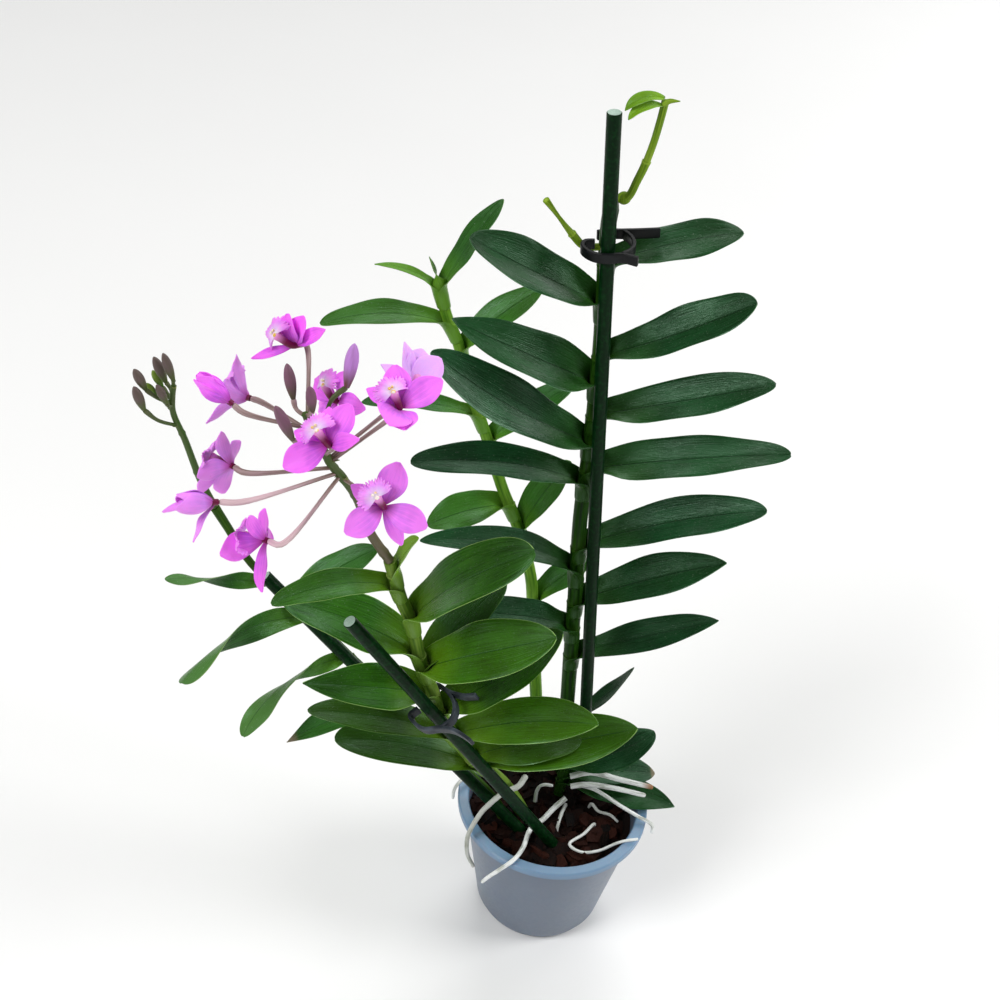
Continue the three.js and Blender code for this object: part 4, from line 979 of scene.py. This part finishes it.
# The main stalk of a spray, swollen at its joints, with shades from its foot to its tip.
def addMainStalk(spray, stalk, swollen):
    count, (thick, thin), (swelling, near) = spray["rings"], spray["radius"], spray["swelling"]
    first, last, low, high = spray["shades"]
    rings, tones = [(0, 0)], [first]
    for k in range(count + 1):
        stop = stalk.length * k / count
        away = min(abs(stop - joint) for joint in swollen)
        rings.append((stop, mix(thick, thin, k / count) + swelling * ease(near, 0, away)))
        tones.append(mix(first, last, ease(low, high, k / count)))
    rings += [(stalk.length, 0.8), (stalk.length, 0)]
    return addTube(stalk, rings, 14, stemmedSkin, [*tones, 0.2, 0.2])


# The buds of a spray, each with its own stalk and bract.
def addBuds(spray, stalk):
    parts = []
    for share, via, base, tip, radius, skin in spray["buds"]:
        reach = share * stalk.length
        foot = stalk.spot(reach)
        way = Route([foot, via, base])
        rings = plainRings(way, lambda t: 1 + 0.5 * ease(0.6, 1, t), 2)
        tones = [0.15 + 0.3 * ring[0] / way.length for ring in rings]
        parts.append(addTube(way, rings, 10, pedicelSkin if skin == "dusky" else stemmedSkin, tones))
        parts.append(addBud(base, tip, radius, skin))
        parts.append(addBract(stalk.spot(reach - 1), Vector(via) - foot, random.uniform(*spray["bracts"])))
    return parts


def addFlowerSpray():
    stalk = Route(spray["places"])
    feet = [foot * stalk.length for foot in spray["feet"]]
    parts = [addMainStalk(spray, stalk, [stalk.length * share for share in spray["joints"]] + feet)]
    for bloom, distance in zip(blooms, feet):
        face = direction(*bloom["face"])
        foot = stalk.spot(distance)
        end = Vector(bloom["at"]) - face * (bloomForm["back"] + 0.3)
        bend = end - face * spray["bend"] * (end - foot).length
        way = Route([foot, bend, end])
        # the stalk thickens into the ovary behind the bloom
        rings = plainRings(way, lambda t: 1 + 0.55 * ease(0.45, 1, t), 2)
        tones = [0.15 + bloom.get("stalk", 0.2) * ease(0.05, 0.7, ring[0] / way.length) for ring in rings]
        parts.append(addTube(way, rings, 12, pedicelSkin, tones, knobs=0.02))
        bractFoot = foot - Vector((0, 0, 0.8))
        parts.append(addBract(bractFoot, end - foot, random.uniform(*spray["bloomBracts"])))
    parts += addBuds(spray, stalk)
    finishPiece("flowerSpray_grown", parts, leaning, "flower_stalk", "flower_spray", sharp=60)


def addBudSpray():
    stalk = Route(budSpray["places"])
    parts = [addMainStalk(budSpray, stalk, [stalk.length * share for share in budSpray["joints"]])]
    parts += addBuds(budSpray, stalk)
    finishPiece("budSpray_grown", parts, leaning, "bud", "bud_spray", sharp=60)


addFlowerSpray()
addBudSpray()
print("sprays made")


# ---- The stakes and the stem clips

# Coat of a garden stake: extruded PVC over a steel tube, glossy, with fine dust and scuffs.
def pvcCoat():
    material, add, shader = newMaterial("pvcStakeCoat", IOR=1.53, Specular_IOR_Level=0.07)
    solid = add("TexCoord", {})
    dust = add("TexNoise", {"Vector": solid.outputs["Object"], "Scale": 420, "Detail": 5})
    wear = add("MapRange", {"Value": dust, "From Min": 0.5, "From Max": 0.75})
    body = add("Mix", {0: wear, 6: "#04200a", 7: "#0a3814"}, data_type="RGBA")
    dull = add("MapRange", {"Value": dust, "To Min": 0.2, "To Max": 0.5})
    place = add("UVMap", {}, uv_map="UVMap")
    stretched = add("Mapping", {"Vector": place, "Scale": (12, 0.25, 1)})
    ripple = add("TexNoise", {"Vector": stretched, "Scale": 1, "Detail": 2})
    bump = add("Bump", {"Height": ripple, "Strength": 0.35, "Distance": 0.0006})
    feed(shader, {"Base Color": body, "Roughness": dull, "Normal": bump})
    return material


# Cut end of a stake: sawn plastic and zinc-grey steel.
def sawnEnd():
    material, add, shader = newMaterial("sawnStakeEnd", Roughness=0.6, IOR=1.5)
    solid = add("TexCoord", {})
    scratch = add("TexNoise", {"Vector": solid.outputs["Object"], "Scale": 1500, "Detail": 2})
    body = add("Mix", {0: scratch, 6: "#7fa48e", 7: "#c6d5cc"}, data_type="RGBA")
    bump = add("Bump", {"Height": scratch, "Strength": 0.4, "Distance": 0.0003})
    feed(shader, {"Base Color": body, "Normal": bump})
    return material


# Clip: moulded ABS with a fine spark-eroded grain.
def mouldedClip(name, colour, worn):
    material, add, shader = newMaterial(name, IOR=1.5, Specular_IOR_Level=0.22)
    solid = add("TexCoord", {})
    grain = add("TexNoise", {"Vector": solid.outputs["Object"], "Scale": 1800, "Detail": 2})
    scuff = add("TexNoise", {"Vector": solid.outputs["Object"], "Scale": 150, "Detail": 3})
    wear = add("MapRange", {"Value": scuff, "From Min": 0.45, "From Max": 0.75})
    body = add("Mix", {0: wear, 6: colour, 7: worn}, data_type="RGBA")
    dull = add("MapRange", {"Value": scuff, "To Min": 0.35, "To Max": 0.55})
    bump = add("Bump", {"Height": grain, "Strength": 0.15, "Distance": 0.0002})
    feed(shader, {"Base Color": body, "Roughness": dull, "Normal": bump})
    return material


coatSkin = pvcCoat()
sawnSkin = sawnEnd()
clipSkins = {"tall_clip": mouldedClip("mouldedClip_black", "#07090a", "#15191b"),
             "front_clip": mouldedClip("mouldedClip_grey", "#2a2f36", "#4c545e")}

stakes = {
    "tall_stake": {"foot": (20, 25, 30), "top": (20, 25, 553)},
    "front_stake": {"foot": (16, -20, 48), "top": (-111, -68, 314)},
    "left_stake": {"foot": (6, -20.5, 48), "top": (-165, 1, 283)},
}
stakeForm = {"radius": 3.75, "dimple": 0.5, "round": 0.4, "sides": 24}


# A stake: a coated rod with a shallow dimple in its cut top.
def addStake(name, stake):
    first, last = Vector(stake["foot"]), Vector(stake["top"])
    route = Route([first, first.lerp(last, 0.5), last])
    radius, top = stakeForm["radius"], route.length
    edge = radius - stakeForm["round"]
    rings = [(0, 0), (0, edge), (stakeForm["round"], radius)]
    rings += [(top * k / 40, radius) for k in range(1, 40)]
    rings += [(top - stakeForm["round"], radius), (top, edge), (top - stakeForm["dimple"] / 3, edge * 0.8),
              (top - stakeForm["dimple"], edge * 0.5), (top - stakeForm["dimple"], 0)]
    piece = addTube(route, rings, stakeForm["sides"], coatSkin)
    piece.data.materials.append(sawnSkin)
    axis = (last - first).normalized()
    for face in piece.data.polygons:
        reach = (Vector(face.center) - first).dot(axis)
        away = (Vector(face.center) - first - axis * reach).length
        if reach > top - 1 and away < edge:
            face.material_index = 1
    finishPiece(name.replace("_", "") + "_coated", [piece], leaning, "stake_coat", name, sharp=35)


clips = {
    "tall_clip": {
        "centre": (20, 25, 477), "slot": "black_clip",
        "bars": [
            [(-6, 9), (-11, 8.5), (-12.5, 5), (-10.5, 0), (-6, -4), (0, -5.2), (7, -4.5), (14.5, -8)],
            [(-4.5, 17.4), (0, 18.8), (8, 18.8), (18, 19.2), (27.5, 20)],
            [(7, -3.8), (12, 1), (13.5, 7), (12, 14), (9, 18.5)],
        ],
    },
    "front_clip": {
        "centre": (-70.4, -52.7, 229), "along": (-127, -48, 266), "turn": 67, "slot": "grey_clip",
        "bars": [
            [(-9, 5), (-14, 2), (-11.5, -3.5), (-4.5, -10), (4, -11.5), (12, -14.5), (18, -19), (24, -25)],
            [(-11, 13), (-9.5, 18.5), (-3, 19.5), (4, 16.5), (9, 11.5), (14, 8), (20, 5), (27, 3.5)],
            [(9, 11), (13, 4), (14, -2), (12, -8), (6, -11.8)],
        ],
    },
}
clipForm = {"thickness": 2, "height": 5.5, "round": 0.45}


# A bar of a clip: a ribbon along a flat curve, thickened, with its edges rounded.
def addBar(places, skin):
    route = Route([(x, y, 0) for x, y in places])
    steps = max(round(route.length / 1.6), 6)

    def placeAt(across, row):
        return route.spot(route.length * row / steps) + Vector((0, 0, across * clipForm["height"] / 2))

    ribbon, _ = addSheet(3, steps, placeAt)
    ribbon.data.materials.append(skin)
    applyModifier(ribbon, "SOLIDIFY", thickness=clipForm["thickness"], offset=0)
    applyModifier(ribbon, "BEVEL", width=clipForm["round"], segments=3, limit_method="ANGLE",
                  angle_limit=math.radians(50))
    return ribbon


for name, stake in stakes.items():
    addStake(name, stake)
for name, clip in clips.items():
    bars = [addBar(places, clipSkins[name]) for places in clip["bars"]]
    place = Matrix.Translation(clip["centre"])
    if "along" in clip:
        place = place @ facing(Vector(clip["along"]).normalized())
        place = place @ Matrix.Rotation(math.radians(clip["turn"]), 4, "Z")
    finishPiece(name.replace("_", "") + "_moulded", bars, leaning @ place, clip["slot"], name, sharp=35)
print("stakes and clips made")


# ---- The aerial roots

# Velamen: the dead spongy coat of an orchid root, silver-white and matt when dry, with a waxy tip.
def velamen():
    material, add, shader = newMaterial("velamenRoot", IOR=1.35)
    solid = add("TexCoord", {})
    place = add("UVMap", {}, uv_map="UVMap")
    stretched = add("Mapping", {"Vector": place, "Scale": (8, 0.12, 1)})
    streak = add("TexNoise", {"Vector": stretched, "Scale": 1, "Detail": 4})
    stain = add("TexNoise", {"Vector": solid.outputs["Object"], "Scale": 90, "Detail": 4})
    soiled = add("Math", {0: streak, 1: 1.5, 2: stain}, operation="MULTIPLY_ADD")
    spread = add("MapRange", {"Value": soiled, "From Min": 1.2, "From Max": 1.6})
    body = add("Mix", {0: spread, 6: "#f4f7f6", 7: "#a9aea2"}, data_type="RGBA")
    tone = add("Attribute", {}, attribute_name="tone")
    aged = add("Mix", {0: tone.outputs["Fac"], 6: body, 7: "#7f8272"}, data_type="RGBA")
    dry = add("Attribute", {}, attribute_name="dry")
    tipped = add("Mix", {0: dry.outputs["Fac"], 6: aged, 7: "#9a6f4c"}, data_type="RGBA")
    dull = add("MapRange", {"Value": streak, "To Min": 0.6, "To Max": 0.9})
    relief = add("Math", {0: streak, 1: stain}, operation="ADD")
    bump = add("Bump", {"Height": relief, "Strength": 0.5, "Distance": 0.0006})
    feed(shader, {"Base Color": tipped, "Roughness": dull, "Normal": bump})
    return material


rootSkin = velamen()
# Each root: its radius at its foot and at its end, how grey it is, and the places that it passes.
roots = [
    (1.9, 1.5, 0, [(9, 4, 112), (21.3, 4.8, 115.8), (40.5, 2.3, 113.8), (61.5, 0.9, 110)]),
    (1.8, 1.5, 0, [(10, 1, 106), (19.6, 0.9, 108.8), (34.6, -1.3, 110), (57, -3.4, 107)]),
    (1.3, 1.1, 0, [(17.5, 5.3, 102.5), (25.5, 0, 105.5), (41.2, -9.5, 103), (52.8, -14.4, 99.5),
                   (61.5, -17.6, 96.5), (63, -17, 88)]),
    (1, 0.9, 0.15, [(28, -9, 80), (26.5, -12.2, 87), (20, -20, 86.5), (10.5, -29.5, 87),
                    (17.6, -34.9, 87), (28.8, -34.1, 88.5), (38, -32.5, 94), (44, -32, 96.8),
                    (52, -30.5, 97.5)]),
    (1.9, 1.2, 0.55, [(-21, -11, 126), (-26, -21, 128), (-34, -25, 127), (-39, -28, 124),
                      (-43, -30, 120), (-47, -31, 113.5), (-53.5, -37.2, 100), (-53, -40, 86),
                      (-48, -39.2, 72)]),
    (1.8, 1.1, 0, [(8, 0, 96), (0.2, -5.6, 91), (-5.5, -11.5, 88), (-13.3, -19.3, 88), (-19, -38, 92),
                   (-26, -53.5, 98.5), (-34, -55, 90), (-39, -51, 78), (-42, -46, 66)]),
    (1.2, 1, 0.2, [(-46.9, 14.9, 100), (-55.8, 8.3, 101), (-62.5, -0.5, 99), (-63, -1, 90)]),
    (1.3, 1, 0.1, [(-10, 5, 78), (-10, 4, 98), (-7, 1, 106), (-1.5, -1, 108)]),
    (1.3, 1, 0.2, [(9.7, 5.8, 78), (9, 2, 87), (6, -6, 87), (4, -13, 86), (3, -17, 78)]),
    (1.1, 0.9, 0.3, [(24.7, 6.3, 78), (26, 4, 87), (29.8, -1.5, 87), (37.4, -4.1, 87), (42.6, -6.9, 84)]),
]
brownTipped = 1  # the root whose live tip is brown, from 2 to 9 mm off its end


def addRoot(number, thick, thin, grey, places):
    way = Route(places)
    rings = plainRings(way, lambda t: mix(thick, thin, t), 1.6)
    piece = addTube(way, rings, 14, rootSkin, [grey] * len(rings), knobs=0.035)
    if number == brownTipped:
        for vertex, mark in zip(piece.data.vertices, piece.data.attributes["dry"].data):
            mark.value = ease(9, 2, (vertex.co - Vector(places[-1])).length)
    node = f"aerial_root_{number:02d}"
    finishPiece(f"velamenRoot_{number:02d}", [piece], upright, "root", node, sharp=60)


for number, root in enumerate(roots, start=1):
    addRoot(number, *root)
print("roots made:", len(roots))


# ---- The pot

# Polypropylene: thin, milky and satin, so it glows a little where light is behind it.
def milkyPolypropylene():
    material, add, shader = newMaterial("milkyPolypropylene", IOR=1.49, Subsurface_Weight=0.25,
                                        Subsurface_Scale=0.004)
    solid = add("TexCoord", {})
    haze = add("TexNoise", {"Vector": solid.outputs["Object"], "Scale": 30, "Detail": 3})
    split = add("SeparateXYZ", {0: solid.outputs["Object"]})
    # the band from 85 to 93 mm up, round the lip, is painted lighter than the wall: a painted highlight
    # where light falls on the pot's top
    height = add("MapRange", {"Value": split.outputs[2], "From Min": 0.085, "From Max": 0.093})
    wall = add("Mix", {0: haze, 6: "#606c7e", 7: "#6b7788"}, data_type="RGBA")
    lip = add("Mix", {0: height, 6: wall, 7: "#7291ae"}, data_type="RGBA")
    scuff = add("TexNoise", {"Vector": solid.outputs["Object"], "Scale": 400, "Detail": 3})
    dull = add("MapRange", {"Value": scuff, "To Min": 0.3, "To Max": 0.46})
    bump = add("Bump", {"Height": scuff, "Strength": 0.08, "Distance": 0.0003})
    feed(shader, {"Base Color": lip, "Roughness": dull, "Normal": bump})
    return material


pot = {"height": 95, "rim": 60, "foot": 40, "lipWidth": 5, "lipHeight": 5, "wall": 1.8, "floor": 2.4,
       "sides": 96, "holes": 6, "holeRadius": 2, "holeRing": 24}


# The pot is drawn up ring by ring from the middle of its underside, over the lip and down inside.
def addPot():
    wallTop = pot["rim"] - pot["lipWidth"]
    shelf = pot["height"] - pot["lipHeight"]
    inner = wallTop - pot["wall"]
    innerFoot = mix(pot["foot"], wallTop, 8 / shelf) - pot["wall"]
    foot, rim, top, floor = pot["foot"], pot["rim"], pot["height"], pot["floor"]
    profile = [(foot - 8, 0), (foot - 2.4, 2), (foot + 0.6, 8), (wallTop, shelf), (rim - 0.5, shelf),
               (rim, shelf + 0.6), (rim, top - 0.8), (rim - 0.8, top), (inner + 0.8, top),
               (inner, top - 0.8), (inner, shelf), (innerFoot, 8), (innerFoot - 4, floor), (4, floor)]
    bpy.ops.mesh.primitive_circle_add(vertices=pot["sides"], radius=4, location=(0, 0, 0))
    piece = bpy.context.object
    bpy.ops.object.mode_set(mode="EDIT")
    bpy.ops.mesh.select_all(action="SELECT")
    bpy.ops.mesh.edge_face_add()
    before, low = 4, 0
    for radius, height in profile:
        bpy.ops.mesh.extrude_region_move(TRANSFORM_OT_translate={"value": (0, 0, height - low)})
        grown = (radius / before, radius / before, 1)
        bpy.ops.transform.resize(value=grown, center_override=(0, 0, height))
        before, low = radius, height
    bpy.ops.mesh.select_all(action="SELECT")
    bpy.ops.mesh.normals_make_consistent(inside=False)
    bpy.ops.object.mode_set(mode="OBJECT")
    return piece


def drillPot(piece):
    for k in range(pot["holes"]):
        spot = direction(360 * k / pot["holes"], 0) * pot["holeRing"]
        bpy.ops.mesh.primitive_cylinder_add(vertices=20, radius=pot["holeRadius"], depth=10, location=spot)
        drill = bpy.context.object
        applyModifier(piece, "BOOLEAN", operation="DIFFERENCE", object=drill, solver="EXACT")
        bpy.data.objects.remove(drill)


potPiece = addPot()
drillPot(potPiece)
potPiece.data.materials.append(milkyPolypropylene())
finishPiece("pot_moulded", [potPiece], upright, "pot_plastic", "pot", sharp=35)
print("pot made")


# ---- The growing medium

# Composted bark: damp, dark red-brown chips with a split, fibrous face, their colours painted darker still:
# painted shade under the leaves.
def barkWithPaintedShade():
    material, add, shader = newMaterial("barkWithPaintedShade", IOR=1.45, Specular_IOR_Level=0.15)
    solid = add("TexCoord", {})
    tone = add("Attribute", {}, attribute_name="tone")
    fibre = add("Mapping", {"Vector": solid.outputs["Object"], "Scale": (700, 220, 700)})
    grain = add("TexNoise", {"Vector": fibre, "Scale": 1, "Detail": 5})
    body = add("Mix", {0: tone.outputs["Fac"], 6: "#050201", 7: "#30130a"}, data_type="RGBA")
    spread = add("MapRange", {"Value": grain, "From Min": 0.5, "From Max": 0.8})
    fibrous = add("Mix", {0: spread, 6: body, 7: "#24110a"}, data_type="RGBA")
    dull = add("MapRange", {"Value": grain, "To Min": 0.55, "To Max": 0.95})
    bump = add("Bump", {"Height": grain, "Strength": 0.8, "Distance": 0.0008})
    feed(shader, {"Base Color": fibrous, "Roughness": dull, "Normal": bump})
    return material


barkSkin = barkWithPaintedShade()
medium = {"top": 82, "foot": 4, "clearance": 0.4, "chips": 170, "kinds": 6, "reach": 45, "fibres": 26}


# The body of the medium: a plug that fills the pot, with a rough top.
def addPlug():
    shelf = pot["height"] - pot["lipHeight"]
    wallTop = pot["rim"] - pot["lipWidth"]

    def edge(height):
        return mix(pot["foot"], wallTop, height / shelf) - pot["wall"] - medium["clearance"]

    top = medium["top"] - 1.5
    profile = [(0, medium["foot"]), (edge(8) - 5, medium["foot"]), (edge(10), 10), (edge(46), 46),
               (edge(top), top)]
    profile += [(edge(top) * (1 - k / 14), top) for k in range(1, 15)]

    def placeAt(across, row):
        radius, height = profile[row]
        turn = math.pi * across
        return Vector((radius * math.cos(turn), radius * math.sin(turn), height))

    plug, spots = addSheet(72, len(profile) - 1, placeAt)
    # the plug takes nearly the darkest bark colour: painted shade in the gaps between the chips
    writeMarks(plug, tone=[0.1] * len(spots))
    editAll(plug, (bpy.ops.mesh.remove_doubles, {"threshold": 0.002}),
            (bpy.ops.mesh.normals_make_consistent, {"inside": False}))
    for vertex in plug.data.vertices:
        if vertex.co.z > top - 0.1 and vertex.co.xy.length < edge(top) - 1:
            vertex.co.z += random.uniform(-1.6, 1.2)
    plug.data.materials.append(barkSkin)
    return plug


# One kind of chip: a slab split from a box, with broken corners.
def chipKind():
    bpy.ops.mesh.primitive_cube_add(size=1)
    chip = bpy.context.object
    editAll(chip, (bpy.ops.mesh.subdivide, {"number_cuts": 2, "fractal": 0, "smoothness": 0}))
    for vertex in chip.data.vertices:
        corner = abs(vertex.co.x) * abs(vertex.co.y) * 4
        vertex.co *= 1 - 0.28 * corner * random.random()
        vertex.co += Vector([random.uniform(-0.06, 0.06) for _ in range(3)])
    writeMarks(chip, tone=[0.5] * len(chip.data.vertices))
    chip.data.materials.append(barkSkin)
    return chip


def addMedium():
    kinds = [chipKind() for _ in range(medium["kinds"])]
    parts = [addPlug()]
    for k in range(medium["chips"]):
        source = kinds[k % len(kinds)]
        chip = source.copy()
        chip.data = source.data.copy()
        bpy.context.scene.collection.objects.link(chip)
        away = medium["reach"] * math.sqrt(random.random())
        azimuth = random.uniform(0, 360)
        size = Matrix.Diagonal((random.uniform(7, 18), random.uniform(5, 11), random.uniform(2.5, 5.5), 1))
        turn = Matrix.Rotation(random.uniform(0, 6.3), 4, "Z")
        turn = turn @ Matrix.Rotation(random.uniform(-0.7, 0.7), 4, "X")
        turn = turn @ Matrix.Rotation(random.uniform(-0.45, 0.45), 4, "Y")
        spot = direction(azimuth, 0) * away + Vector((0, 0, medium["top"] + random.uniform(-1.5, 1.2)))
        chip.data.transform(Matrix.Translation(spot) @ turn @ size)
        tone = random.uniform(0, 1) ** 2
        chip.data.attributes["tone"].data.foreach_set("value", [tone] * len(chip.data.vertices))
        parts.append(chip)
    for kind in kinds:
        bpy.data.objects.remove(kind)
    finishPiece("barkMedium", parts, upright, "bark", "growing_medium", sharp=30)


addMedium()
print("growing medium made")


# ---- Studio: a pale floor, a pale room and soft lights

def paleFloor():
    bpy.ops.mesh.primitive_plane_add(size=12)
    floor = bpy.context.object
    floor.name = "studioFloor"
    material, add, shader = newMaterial("matFloor", Roughness=0.9)
    solid = add("TexCoord", {})
    mottle = add("TexNoise", {"Vector": solid.outputs["Object"], "Scale": 3, "Detail": 3})
    body = add("Mix", {0: mottle, 6: "#f2f2f1", 7: "#f6f6f5"}, data_type="RGBA")
    feed(shader, {"Base Color": body})
    floor.data.materials.append(material)


# Wide soft lights from a direction, as from a skylight: where they stand, their spread in degrees
# and their strength. Then lamps: their place, what they face, their size and power.
skyLights = [((0.05, 0.64, 0.77), 34, 1.1), ((-0.2, -0.7, 0.75), 100, 0.4)]
lamps = [
    ((-1.76, -1.16, 2.28), (-0.05, 0, 0.3), 1.3, 46),
    ((2.25, -0.1, 1.75), (-0.05, 0, 0.35), 1.3, 42),
    ((1.5, 1.8, 1.1), (-0.05, 0, 0.35), 1.3, 10),
]

paleFloor()
for toward, spread, strength in skyLights:
    bpy.ops.object.light_add(type="SUN")
    light = bpy.context.object
    light.data.angle = math.radians(spread)
    light.data.energy = strength
    light.rotation_euler = Vector(toward).to_track_quat("Z", "Y").to_euler()
for place, target, size, power in lamps:
    bpy.ops.object.light_add(type="AREA")
    light = bpy.context.object
    light.data.shape = "DISK"
    light.data.size = size
    light.data.energy = power
    turn = (Vector(target) - Vector(place)).to_track_quat("-Z", "Y")
    light.matrix_world = Matrix.Translation(place) @ turn.to_matrix().to_4x4()
room = bpy.data.worlds.new("paleRoom")
bpy.context.scene.world = room
room.use_nodes = True
feed(room.node_tree.nodes["Background"], {"Color": "#fbfbfb", "Strength": 0.13})
bpy.context.scene.view_settings.view_transform = "Standard"
print("studio made")
